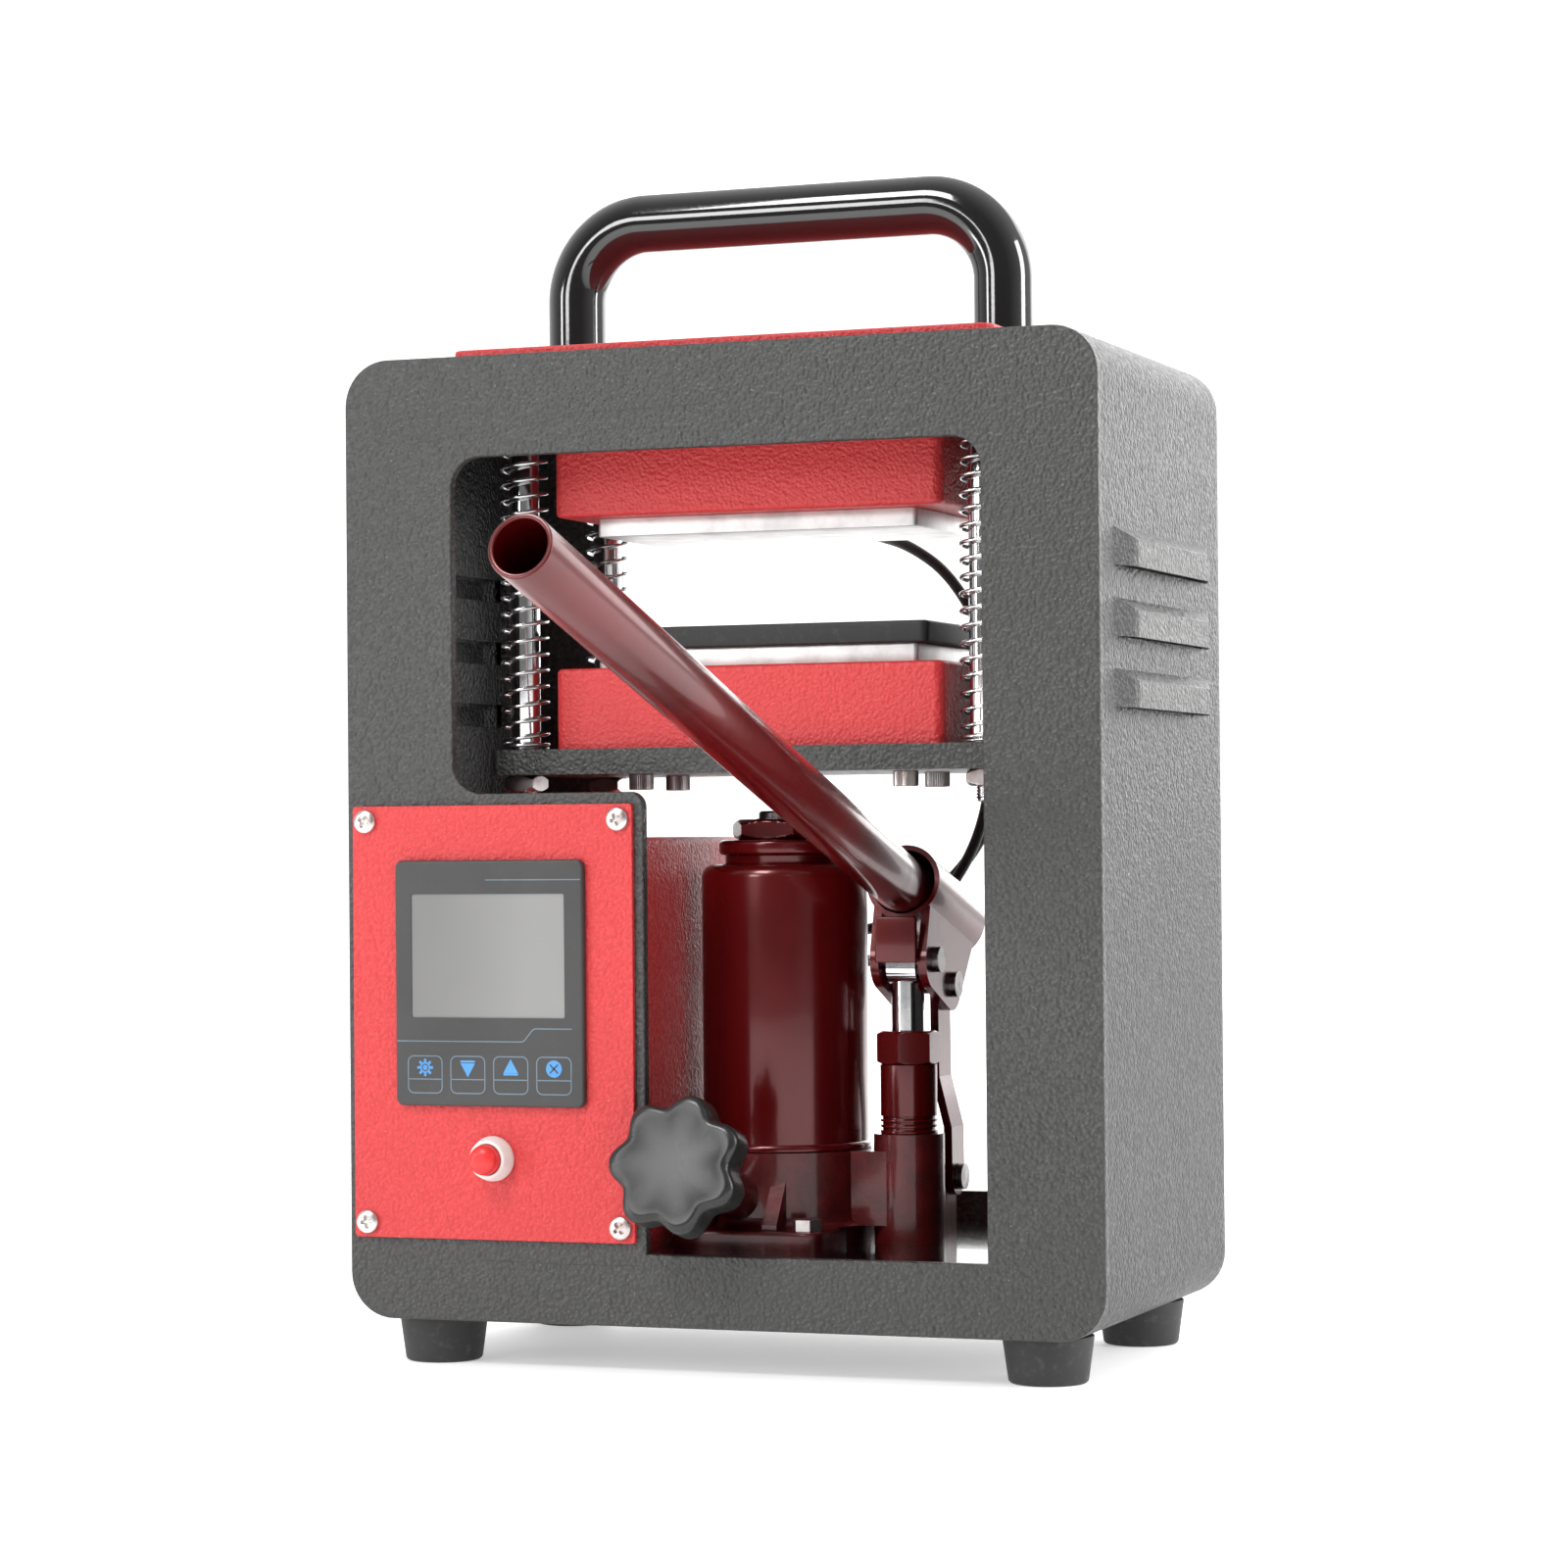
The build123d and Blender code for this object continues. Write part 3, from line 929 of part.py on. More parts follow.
def make_leads():
    """One lead to each platen, each with a gland at its platen."""
    x, y, z = UPPER_LEAD[0]
    back = PRESS_Y + HEAT_D / 2
    save("upper_lead_gland", rod_y(GLAND_R - 1.0, back, y, x, z))
    lead("upper_lead", UPPER_LEAD)
    x, y, z = LOWER_LEAD[0]
    back = PRESS_Y + PLATEN_D / 2
    save("lower_lead_gland", rod_y(GLAND_R, back, y, x, z))
    lead("lower_lead", LOWER_LEAD)


def main():
    """Build every node and write one STEP file for each."""
    make_casing()
    make_feet()
    make_top()
    make_guide()
    make_platens()
    make_panel()
    make_button()
    make_control_box()
    make_power()
    make_jack()
    make_pump()
    make_handle()
    make_valve()
    make_leads()
    os.makedirs("parts", exist_ok=True)
    for name, solids in NODES.items():
        placed = [Pos(0, -ORIGIN_Y, FOOT_H) * solid for solid in solids]
        export_step(placed[0] if len(placed) == 1 else Compound(placed), f"parts/{name}.step")
    print(len(NODES), "nodes, origin shift", round(-ORIGIN_Y, 4), FOOT_H)


main()
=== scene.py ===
"""Finishes and fine pieces of a tabletop hydraulic heat press, laid over its CAD frame.

Everything is in metres: X to the right, Y to the back, Z up, with the origin under the middle of the press.
Each sub-assembly is a class that takes its places from the frame's nodes, builds its own meshes and dresses
them.  A surface is a grid of points worked out as whole arrays.
"""

import json
import logging
from dataclasses import dataclass, replace
from enum import Enum
from math import cos, pi, radians, sin, sqrt, tan
from typing import Optional, Sequence

import bmesh
import bpy
import numpy as np
from mathutils import Matrix, Vector


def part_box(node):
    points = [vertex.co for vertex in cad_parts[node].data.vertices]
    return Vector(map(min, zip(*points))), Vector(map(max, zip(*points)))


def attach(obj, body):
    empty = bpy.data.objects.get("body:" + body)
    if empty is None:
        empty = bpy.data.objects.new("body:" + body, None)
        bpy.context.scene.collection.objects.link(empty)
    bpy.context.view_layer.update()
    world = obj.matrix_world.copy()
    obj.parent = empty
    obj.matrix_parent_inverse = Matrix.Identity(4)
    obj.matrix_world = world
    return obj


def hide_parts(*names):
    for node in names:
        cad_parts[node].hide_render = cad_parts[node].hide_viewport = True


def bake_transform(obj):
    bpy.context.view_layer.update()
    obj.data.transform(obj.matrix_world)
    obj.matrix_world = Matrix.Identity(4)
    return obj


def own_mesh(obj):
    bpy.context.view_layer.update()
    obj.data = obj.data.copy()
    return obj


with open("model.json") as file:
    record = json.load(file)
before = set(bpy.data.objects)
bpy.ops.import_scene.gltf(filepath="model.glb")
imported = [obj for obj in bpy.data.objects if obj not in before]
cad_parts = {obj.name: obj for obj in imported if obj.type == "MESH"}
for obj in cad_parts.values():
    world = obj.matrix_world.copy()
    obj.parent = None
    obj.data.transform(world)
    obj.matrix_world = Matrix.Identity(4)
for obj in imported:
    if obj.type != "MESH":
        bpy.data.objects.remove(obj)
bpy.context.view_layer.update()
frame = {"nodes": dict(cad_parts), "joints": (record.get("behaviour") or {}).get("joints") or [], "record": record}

LOG = logging.getLogger("heat_press")
MM = 0.001
TAU = 2 * pi

Colour = tuple[float, float, float]
Array = np.ndarray
Socket = bpy.types.NodeSocket
Piece = bpy.types.Object
Material = bpy.types.Material


# ---------------------------------------------------------------- places
def low(node: str) -> Vector:
    """A node's lowest corner."""
    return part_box(node)[0]


def high(node: str) -> Vector:
    """A node's highest corner."""
    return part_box(node)[1]


def middle(node: str) -> Vector:
    """The middle of a node's box."""
    return (low(node) + high(node)) / 2


def size(node: str) -> Vector:
    """The three sides of a node's box."""
    return high(node) - low(node)


FACE_Y = low("front_plate").y       # the front plate's face
BASE_Z = low("front_plate").z       # the casing's underside
BENCH = np.array([0.0, FACE_Y, BASE_Z])


# ---------------------------------------------------------------- curves and grids
def rounded(corners: Sequence[tuple[float, ...]], steps: int = 6) -> Array:
    """Round the corners of an open line with arcs.

    Each corner is a curve weighted by w, the cosine of half its turn, which makes it a true arc:
    (start (1-t)^2 + corner 2wt(1-t) + end t^2) over ((1-t)^2 + 2wt(1-t) + t^2).

    Args:
        corners: one row each of a point's coordinates and, last, how far before and after it the arc runs.
        steps: points on each rounded corner.

    Returns:
        The line's points.
    """
    rows = np.array(corners, float)
    places, reach = rows[:, :-1], rows[:, -1:]
    before = np.roll(places, 1, axis=0) - places
    after = np.roll(places, -1, axis=0) - places
    before /= np.maximum(np.linalg.norm(before, axis=1, keepdims=True), 1e-12)
    after /= np.maximum(np.linalg.norm(after, axis=1, keepdims=True), 1e-12)
    weight = np.sqrt((1 - (before * after).sum(1)) / 2)[:, None, None]
    t = np.linspace(0.0, 1.0, steps)[None, :, None]
    shares = [(1 - t) ** 2, 2 * weight * t * (1 - t), t**2]
    ends = [(places + before * reach)[:, None], places[:, None], (places + after * reach)[:, None]]
    curve = sum(share * end for share, end in zip(shares, ends)) / sum(shares)
    points = curve.reshape(-1, places.shape[1])
    apart = np.linalg.norm(np.diff(points, axis=0), axis=1) > 1e-8
    return points[np.concatenate([[True], apart])]


def polygon_reach(sides: int, across_flats: float, angle: Array, turn: float = 0.0) -> Array:
    """How far a regular polygon's edge lies from its middle at each angle: half its flats over the cosine of
    the angle from the nearest flat's middle."""
    step = TAU / sides
    off = np.mod(angle - turn + step / 2, step) - step / 2
    return across_flats / 2 / np.cos(off)


def slab_outline(width: float, depth: float, radius: float, per_corner: int = 8) -> tuple[Array, Array]:
    """A rounded rectangle's points, anticlockwise, and the outward direction at each of them."""
    angle = (np.arange(4)[:, None] * pi / 2 + np.linspace(0, pi / 2, per_corner)[None]).ravel()
    outward = np.stack([np.cos(angle), np.sin(angle)], -1)
    sign = np.repeat(np.array([[1, 1], [-1, 1], [-1, -1], [1, -1]], float), per_corner, axis=0)
    centres = sign * np.array([width / 2 - radius, depth / 2 - radius])
    return centres + outward * radius, outward


def grid_faces(rows: int, columns: int, round_columns: bool, round_rows: bool = False) -> list[list[int]]:
    """Four-cornered faces between neighbouring rows and columns of a grid of points."""
    last_row = rows if round_rows else rows - 1
    last_column = columns if round_columns else columns - 1
    i, j = np.meshgrid(np.arange(last_row), np.arange(last_column), indexing="ij")
    down, right = (i + 1) % rows, (j + 1) % columns
    corners = [i * columns + j, i * columns + right, down * columns + right, down * columns + j]
    return np.stack(corners, -1).reshape(-1, 4).tolist()


def grid_piece(
    name: str,
    grids: Sequence[Array],
    round_columns: bool = True,
    crease: float = 32.0,
    along: Optional[Array] = None,
    round_rows: bool = False,
) -> Piece:
    """Make one piece of one or more closed surfaces.

    Args:
        name: the piece's name.
        grids: for each surface its points, as rows by columns by three.
        round_columns: whether the last column meets the first.
        crease: edges sharper than this many degrees stay sharp.
        along: how far each row lies along the piece, in metres, kept in a UV map with the turn round it.
        round_rows: whether the last row meets the first.

    Returns:
        The new object, with its place in its mesh.
    """
    points = np.concatenate([grid.reshape(-1, 3) for grid in grids])
    faces: list[list[int]] = []
    start = 0
    for grid in grids:
        rows, columns = grid.shape[:2]
        block = np.array(grid_faces(rows, columns, round_columns, round_rows)) + start
        faces += block.tolist()
        start += rows * columns
    mesh = bpy.data.meshes.new(name)
    mesh.from_pydata(points.tolist(), [], faces)
    if along is not None:
        rows, columns = grids[0].shape[:2]
        layer = mesh.uv_layers.new(name="along")
        quads = np.array(faces)
        turn = (quads % columns) / columns
        turn[:, 1:3] = np.where(turn[:, 1:3] == 0, 1.0, turn[:, 1:3])
        distance = along[(quads // columns) % rows]
        layer.data.foreach_set("uv", np.stack([turn, distance], -1).ravel().astype(np.float32))
    tidy = bmesh.new()
    tidy.from_mesh(mesh)
    bmesh.ops.remove_doubles(tidy, verts=tidy.verts, dist=2e-7)
    bmesh.ops.recalc_face_normals(tidy, faces=tidy.faces)
    tidy.to_mesh(mesh)
    tidy.free()
    mesh.shade_smooth()
    mesh.set_sharp_from_angle(angle=radians(crease))
    piece = bpy.data.objects.new(name, mesh)
    bpy.context.scene.collection.objects.link(piece)
    return piece


def upright(origin: Sequence[float], axis: Sequence[float] = (0, 0, 1)) -> Array:
    """The four columns that carry a turned shape to its place: across, sideways, along and origin."""
    w = np.array(axis, float)
    w /= np.linalg.norm(w)
    helper = np.array([1.0, 0, 0]) if abs(w[0]) < 0.9 else np.array([0, 0, 1.0])
    v = np.cross(w, helper)
    v /= np.linalg.norm(v)
    return np.stack([np.cross(v, w), v, w, np.array(origin, float)])


def put(local: Array, place: Array) -> Array:
    """Carry points from a turned shape's own axes to their place."""
    return local[..., :1] * place[0] + local[..., 1:2] * place[1] + local[..., 2:3] * place[2] + place[3]


def turned(profile: Array, place: Array, segments: int = 64, reach: Optional[Array] = None) -> Array:
    """A surface of revolution.

    The point at angle a on a row is radius cos a, radius sin a, height.

    Args:
        profile: rows of radius and height.
        place: where it stands, from upright().
        segments: columns round the axis.
        reach: if given, the largest radius allowed at each angle, which cuts flats on the shape.

    Returns:
        The grid of points.
    """
    angle = np.arange(segments) / segments * TAU
    radius = np.repeat(profile[:, :1], segments, axis=1)
    if reach is not None:
        radius = np.minimum(radius, reach)
    height = np.repeat(profile[:, 1:], segments, axis=1)
    local = np.stack([radius * np.cos(angle), radius * np.sin(angle), height], -1)
    return put(local, place)


def tube(path: Array, radius: Array, sides: int = 12) -> tuple[Array, Array]:
    """A round tube along a path.

    Its sections stand square to the path, turned from the direction that the path runs along least, which
    is the smallest axis of its directions.

    Args:
        path: points along the middle.
        radius: the radius at each point.
        sides: points round each section.

    Returns:
        The grid of points, closed at both ends, and how far each row lies along the path.
    """
    step = np.gradient(path, axis=0)
    ahead = step / np.linalg.norm(step, axis=1, keepdims=True)
    _, axes = np.linalg.eigh(ahead.T @ ahead)
    side = np.cross(ahead, axes[:, 0])
    side /= np.linalg.norm(side, axis=1, keepdims=True)
    over = np.cross(ahead, side)
    angle = np.arange(sides) / sides * TAU
    ring = side[:, None] * np.cos(angle)[None, :, None] + over[:, None] * np.sin(angle)[None, :, None]
    grid = path[:, None] + ring * radius[:, None, None]
    ends = [np.repeat(path[k : k + 1, None], sides, axis=1) for k in (0, -1)]
    distance = np.concatenate([[0.0], np.cumsum(np.linalg.norm(np.diff(path, axis=0), axis=1))])
    rows = np.concatenate([[0.0], distance, distance[-1:]])
    return np.concatenate([ends[0], grid, ends[1]]), rows


def slab(
    width: float, depth: float, z0: float, z1: float, centre: Vector, radius: float, edge: float
) -> Array:
    """A flat block with rounded corners and softly rounded top and bottom edges.

    Its rows are the outline drawn in by an inset that goes edge (1 - sin a) while the height goes
    edge (1 - cos a), a quarter turn at each face.

    Args:
        width: its size along X.
        depth: its size along Y.
        z0: its underside.
        z1: its top.
        centre: the middle of its plan.
        radius: the radius of its upright corners.
        edge: the radius of its top and bottom edges.

    Returns:
        The grid of points, closed at both faces.
    """
    outline, outward = slab_outline(width, depth, radius)
    a = np.linspace(0, pi / 2, 5)
    drawn_in = edge * (1 - np.sin(a))
    rise = edge * (1 - np.cos(a))
    inset = np.concatenate([drawn_in, drawn_in[::-1]])
    height = np.concatenate([z0 + rise, z1 - rise[::-1]])
    rings = outline[None] - outward[None] * inset[:, None, None]
    levels = np.broadcast_to(height[:, None, None], rings.shape[:2] + (1,))
    grid = np.concatenate([rings, levels], -1) + np.array([centre[0], centre[1], 0.0])
    caps = [np.broadcast_to(np.array([centre[0], centre[1], z]), (1,) + grid.shape[1:]) for z in (z0, z1)]
    return np.concatenate([caps[0], grid, caps[1]])


# ---------------------------------------------------------------- finishes
class Recipe:
    """One material's nodes, with short calls for the ones that the finishes share."""

    def __init__(self, name: str) -> None:
        """Start an empty recipe on a plain shader."""
        self.material = bpy.data.materials.new(name)
        self.material.use_nodes = True
        self.nodes = self.material.node_tree.nodes
        self.links = self.material.node_tree.links
        self.shader = self.nodes["Principled BSDF"]
        self.position = self.nodes.new("ShaderNodeTexCoord").outputs["Object"]

    def plain(self, **values: float) -> None:
        """Set constant values on the shader's own sockets, by name with _ for a space."""
        for name, value in values.items():
            self.shader.inputs[name.replace("_", " ")].default_value = value

    def stretched(self, scale: Sequence[float], source: Optional[Socket] = None) -> Socket:
        """The position with each axis scaled."""
        node = self.nodes.new("ShaderNodeMapping")
        node.inputs["Scale"].default_value = scale
        self.links.new(source or self.position, node.inputs["Vector"])
        return node.outputs["Vector"]

    def noise(
        self, scale: float, detail: float = 2.0, roughness: float = 0.5, source: Optional[Socket] = None
    ) -> Socket:
        """Smooth noise with this many features to the metre."""
        node = self.nodes.new("ShaderNodeTexNoise")
        node.inputs["Scale"].default_value = scale
        node.inputs["Detail"].default_value = detail
        node.inputs["Roughness"].default_value = roughness
        self.links.new(source or self.position, node.inputs["Vector"])
        return node.outputs["Fac"]

    def cells(self, scale: float, feature: str = "SMOOTH_F1", softness: float = 0.6) -> Socket:
        """Distance to the nearest of scattered points."""
        node = self.nodes.new("ShaderNodeTexVoronoi")
        node.feature = feature
        node.inputs["Scale"].default_value = scale
        if feature == "SMOOTH_F1":
            node.inputs["Smoothness"].default_value = softness
        self.links.new(self.position, node.inputs["Vector"])
        return node.outputs["Distance"]

    def ramp(self, source: Socket, low_end: float, high_end: float) -> Socket:
        """Spread a value between two limits over nought to one."""
        node = self.nodes.new("ShaderNodeMapRange")
        node.interpolation_type = "SMOOTHSTEP"
        node.inputs["From Min"].default_value = low_end
        node.inputs["From Max"].default_value = high_end
        self.links.new(source, node.inputs["Value"])
        return node.outputs["Result"]

    def sum(self, kind: str, first: Socket, second: "Socket | float") -> Socket:
        """Arithmetic on two values; a kind that takes one value leaves the second unused."""
        node = self.nodes.new("ShaderNodeMath")
        node.operation = kind
        self.links.new(first, node.inputs[0])
        if isinstance(second, (int, float)):
            node.inputs[1].default_value = second
        else:
            self.links.new(second, node.inputs[1])
        return node.outputs[0]

    def axis(self, index: int) -> Socket:
        """One coordinate of the position."""
        node = self.nodes.new("ShaderNodeSeparateXYZ")
        self.links.new(self.position, node.inputs[0])
        return node.outputs[index]

    def blend(
        self, factor: Socket, first: "Colour | Socket", second: "Colour | Socket"
    ) -> Socket:
        """Go from one colour to another."""
        node = self.nodes.new("ShaderNodeMix")
        node.data_type = "RGBA"
        self.links.new(factor, node.inputs["Factor"])
        for value, socket in ((first, node.inputs[6]), (second, node.inputs[7])):
            if isinstance(value, tuple):
                socket.default_value = (*value, 1.0)
            else:
                self.links.new(value, socket)
        return node.outputs[2]

    def colour(self, value: Socket) -> None:
        """Feed the shader's colour."""
        self.links.new(value, self.shader.inputs["Base Color"])

    def vary_roughness(self, source: Socket, least: float, most: float) -> None:
        """Let a value move the roughness between two limits."""
        node = self.nodes.new("ShaderNodeMapRange")
        node.inputs["To Min"].default_value = least
        node.inputs["To Max"].default_value = most
        self.links.new(source, node.inputs["Value"])
        self.links.new(node.outputs["Result"], self.shader.inputs["Roughness"])

    def bump(self, height: Socket, depth: float, strength: float = 1.0) -> None:
        """Raise the surface by a height, adding to any bump already there."""
        node = self.nodes.new("ShaderNodeBump")
        node.inputs["Strength"].default_value = strength
        node.inputs["Distance"].default_value = depth
        self.links.new(height, node.inputs["Height"])
        taken = self.shader.inputs["Normal"].links
        if taken:
            self.links.new(taken[0].from_socket, node.inputs["Normal"])
        self.links.new(node.outputs["Normal"], self.shader.inputs["Normal"])


def darker(colour: Colour, share: float) -> Colour:
    """A colour scaled by a share."""
    return tuple(channel * share for channel in colour)


@dataclass(frozen=True)
class GrainCoat:
    """Powder coat that dries into a leather grain: pebbles with creases between them, with painted highlight on
    the pebbles and painted shade in the creases.
    """

    colour: Colour
    pebble: float = 0.0016          # size of a pebble
    depth: float = 0.00022
    roughness: float = 0.42
    rubbed: Colour = (0.2, 0.2, 0.2)
    contrast: float = 0.25          # how much paler the painted highlight on the pebbles and darker the painted shade in the creases are than the colour
    seam_y: Optional[float] = None  # where two sheets meet, front to back, for a painted shadow line in the seam
    # half width, middle height and half height of the unlit inside, painted near black as shade
    inside: Optional[tuple[float, float, float]] = None

    def brew(self, name: str) -> Material:
        """Make the material."""
        recipe = Recipe(name)
        pebbles = recipe.cells(1 / self.pebble, softness=0.8)
        wander = recipe.noise(0.55 / self.pebble, 3.0, 0.6)
        grain = recipe.sum("ADD", pebbles, wander)
        cloud = recipe.noise(9.0, 3.0, 0.55)
        # painted highlight on the pebbles and painted shade in the creases, following the grain
        painted_grain_light_mix = recipe.ramp(grain, 0.65, 1.25)
        pale, dark = darker(self.colour, 1 + self.contrast), darker(self.colour, 1 - self.contrast)
        base = recipe.blend(painted_grain_light_mix, pale, dark)
        base = recipe.blend(recipe.ramp(cloud, 0.3, 0.7), base, darker(self.colour, 0.92))
        # pale specks a pebble wide, scattered over the coat, taken half way to the speck colour
        specks = recipe.ramp(recipe.noise(1.1 / self.pebble, 1.0), 0.74, 0.8)
        base = recipe.blend(recipe.sum("MULTIPLY", specks, 0.5), base, self.rubbed)
        if self.seam_y is not None:
            # painted shadow: a near-black line in the seam between the shell and the front plate
            gap = recipe.sum("ABSOLUTE", recipe.sum("SUBTRACT", recipe.axis(1), self.seam_y), 0.0)
            base = recipe.blend(recipe.ramp(gap, 0.0003, 0.0007), (0.004, 0.004, 0.004), base)
        if self.inside is not None:
            half_width, middle_z, half_height = self.inside
            # painted shade: the unlit inside is coloured near black
            aside = recipe.sum("ABSOLUTE", recipe.sum("DIVIDE", recipe.axis(0), half_width), 0.0)
            level = recipe.sum("DIVIDE", recipe.sum("SUBTRACT", recipe.axis(2), middle_z), half_height)
            outward = recipe.sum("MAXIMUM", aside, recipe.sum("ABSOLUTE", level, 0.0))
            base = recipe.blend(recipe.ramp(outward, 0.999, 1.0), (0.006, 0.006, 0.006), base)
        recipe.colour(base)
        recipe.vary_roughness(recipe.ramp(grain, 0.5, 1.3), self.roughness - 0.07, self.roughness + 0.1)
        recipe.bump(grain, self.depth)
        recipe.bump(recipe.noise(160.0, 2.0), self.depth * 0.5)
        return recipe.material


@dataclass(frozen=True)
class GlossEnamel:
    """Stove enamel: deep colour under a clear skin with a faint orange peel, dust and hairline rubs."""

    colour: Colour
    roughness: float = 0.12
    peel: float = 0.00002
    flake: float = 0.0              # share of metal flake under the skin
    skin: float = 0.8               # how thick the clear skin is

    def brew(self, name: str) -> Material:
        """Make the material."""
        recipe = Recipe(name)
        recipe.plain(Metallic=self.flake, Coat_Weight=self.skin, Coat_Roughness=0.05)
        cloud = recipe.noise(14.0, 3.0)
        clouded = recipe.ramp(cloud, 0.3, 0.75)
        base = recipe.blend(clouded, darker(self.colour, 0.85), darker(self.colour, 1.2))
        dust = recipe.ramp(recipe.noise(900.0, 2.0), 0.72, 0.8)
        base = recipe.blend(recipe.sum("MULTIPLY", dust, 0.25), base, darker(self.colour, 2.2))
        recipe.colour(base)
        rubs = recipe.noise(60.0, 4.0, 0.7, recipe.stretched((1.0, 7.0, 1.0)))
        recipe.vary_roughness(rubs, self.roughness * 0.7, self.roughness * 1.6)
        recipe.bump(recipe.noise(420.0, 2.0), self.peel)
        return recipe.material


@dataclass(frozen=True)
class CastLacquer:
    """Metallic lacquer over a sand casting: coarse lumps, fine sand marks, darker hollows."""

    colour: Colour
    roughness: float = 0.3
    lumps: float = 0.0005
    sand: float = 0.00009
    flake: float = 0.55

    def brew(self, name: str) -> Material:
        """Make the material."""
        recipe = Recipe(name)
        recipe.plain(Metallic=self.flake, Coat_Weight=0.6, Coat_Roughness=0.12)
        lumps = recipe.noise(85.0, 3.0, 0.5)
        sand = recipe.noise(1300.0, 3.0, 0.65)
        hollows = recipe.ramp(lumps, 0.3, 0.7)
        base = recipe.blend(hollows, darker(self.colour, 0.65), darker(self.colour, 1.15))
        pits = recipe.ramp(recipe.noise(520.0, 2.0), 0.68, 0.78)
        recipe.colour(recipe.blend(recipe.sum("MULTIPLY", pits, 0.5), base, darker(self.colour, 0.35)))
        recipe.vary_roughness(sand, self.roughness - 0.08, self.roughness + 0.14)
        recipe.bump(lumps, self.lumps)
        recipe.bump(sand, self.sand)
        return recipe.material


@dataclass(frozen=True)
class PlatedMetal:
    """Plated or polished metal with patches of tint, tool marks along one axis and fine scratches."""

    colour: Colour
    tint: Colour
    roughness: float = 0.22
    marks: tuple[float, float, float] = (1.0, 1.0, 12.0)
    mark_depth: float = 0.00001

    def brew(self, name: str) -> Material:
        """Make the material."""
        recipe = Recipe(name)
        recipe.plain(Metallic=1.0)
        patch = recipe.noise(150.0, 3.0, 0.6)
        recipe.colour(recipe.blend(recipe.ramp(patch, 0.4, 0.72), self.colour, self.tint))
        streak = recipe.noise(420.0, 3.0, 0.6, recipe.stretched(self.marks))
        recipe.vary_roughness(streak, self.roughness * 0.65, self.roughness * 1.5)
        recipe.bump(streak, self.mark_depth)
        return recipe.material


@dataclass(frozen=True)
class Moulded:
    """Moulded plastic or rubber: a fine spark-eroded grain, slight flow clouds and dusty high spots."""

    colour: Colour
    roughness: float = 0.5
    grain: float = 0.00004
    grain_size: float = 0.0005
    dust: float = 0.08
    specular: float = 0.5
    see_through: float = 0.0

    def brew(self, name: str) -> Material:
        """Make the material."""
        recipe = Recipe(name)
        recipe.plain(Specular_IOR_Level=self.specular)
        recipe.plain(Subsurface_Weight=self.see_through, Subsurface_Scale=0.002)
        cloud = recipe.noise(30.0, 3.0)
        clouded = recipe.ramp(cloud, 0.3, 0.7)
        base = recipe.blend(clouded, darker(self.colour, 0.9), darker(self.colour, 1.08))
        film = recipe.ramp(recipe.noise(240.0, 4.0, 0.7), 0.5, 0.85)
        recipe.colour(recipe.blend(recipe.sum("MULTIPLY", film, self.dust), base, (0.5, 0.49, 0.47)))
        recipe.vary_roughness(cloud, self.roughness - 0.06, self.roughness + 0.08)
        recipe.bump(recipe.noise(1 / self.grain_size, 2.0), self.grain)
        return recipe.material


@dataclass(frozen=True)
class MilledPlate:
    """Milled aluminium: even cutter lines along X, cloudy oxide and a few rubs."""

    colour: Colour = (0.78, 0.77, 0.76)

    def brew(self, name: str) -> Material:
        """Make the material."""
        recipe = Recipe(name)
        recipe.plain(Metallic=0.85)
        cloud = recipe.noise(70.0, 4.0, 0.6)
        base = recipe.blend(recipe.ramp(cloud, 0.35, 0.75), self.colour, darker(self.colour, 0.72))
        blot = recipe.ramp(recipe.noise(26.0, 2.0), 0.62, 0.72)
        recipe.colour(recipe.blend(recipe.sum("MULTIPLY", blot, 0.35), base, (0.55, 0.47, 0.42)))
        lines = recipe.noise(300.0, 3.0, 0.5, recipe.stretched((0.15, 6.0, 6.0)))
        recipe.vary_roughness(lines, 0.34, 0.5)
        recipe.bump(lines, 0.00001)
        return recipe.material


@dataclass(frozen=True)
class PressedBoard:
    """Fibre board or mica: short fibres lying across each other, or thin flakes."""

    colour: Colour
    fibre: tuple[float, float, float] = (1.0, 5.0, 5.0)

    def brew(self, name: str) -> Material:
        """Make the material."""
        recipe = Recipe(name)
        fibres = recipe.noise(420.0, 4.0, 0.7, recipe.stretched(self.fibre))
        crossing = recipe.noise(420.0, 4.0, 0.7, recipe.stretched(self.fibre[::-1]))
        both = recipe.sum("MAXIMUM", fibres, crossing)
        lit = recipe.ramp(both, 0.4, 0.8)
        recipe.colour(recipe.blend(lit, darker(self.colour, 0.7), darker(self.colour, 1.12)))
        recipe.vary_roughness(both, 0.8, 0.95)
        recipe.bump(both, 0.00015)
        return recipe.material


@dataclass(frozen=True)
class DisplayWindow:
    """A blank display behind its window: grey with a painted reflection that lightens it to the right, with a fine
    dot screen.
    """

    dark: Colour
    light: Colour

    def brew(self, name: str) -> Material:
        """Make the material."""
        recipe = Recipe(name)
        recipe.plain(Roughness=0.2, Coat_Weight=0.3, Coat_Roughness=0.08)
        left, right = low("controller_screen").x, high("controller_screen").x
        # painted reflection: the grey lightens from the screen's left edge to its right
        across = recipe.ramp(recipe.axis(0), left, right)
        painted_reflection = recipe.sum("ADD", across, recipe.sum("MULTIPLY", recipe.noise(40.0), 0.2))
        base = recipe.blend(painted_reflection, self.dark, self.light)
        dots = recipe.ramp(recipe.cells(2600.0, "F1"), 0.2, 0.6)
        recipe.colour(recipe.blend(recipe.sum("MULTIPLY", dots, 0.06), base, self.dark))
        recipe.bump(recipe.noise(500.0), 0.000004)
        return recipe.material


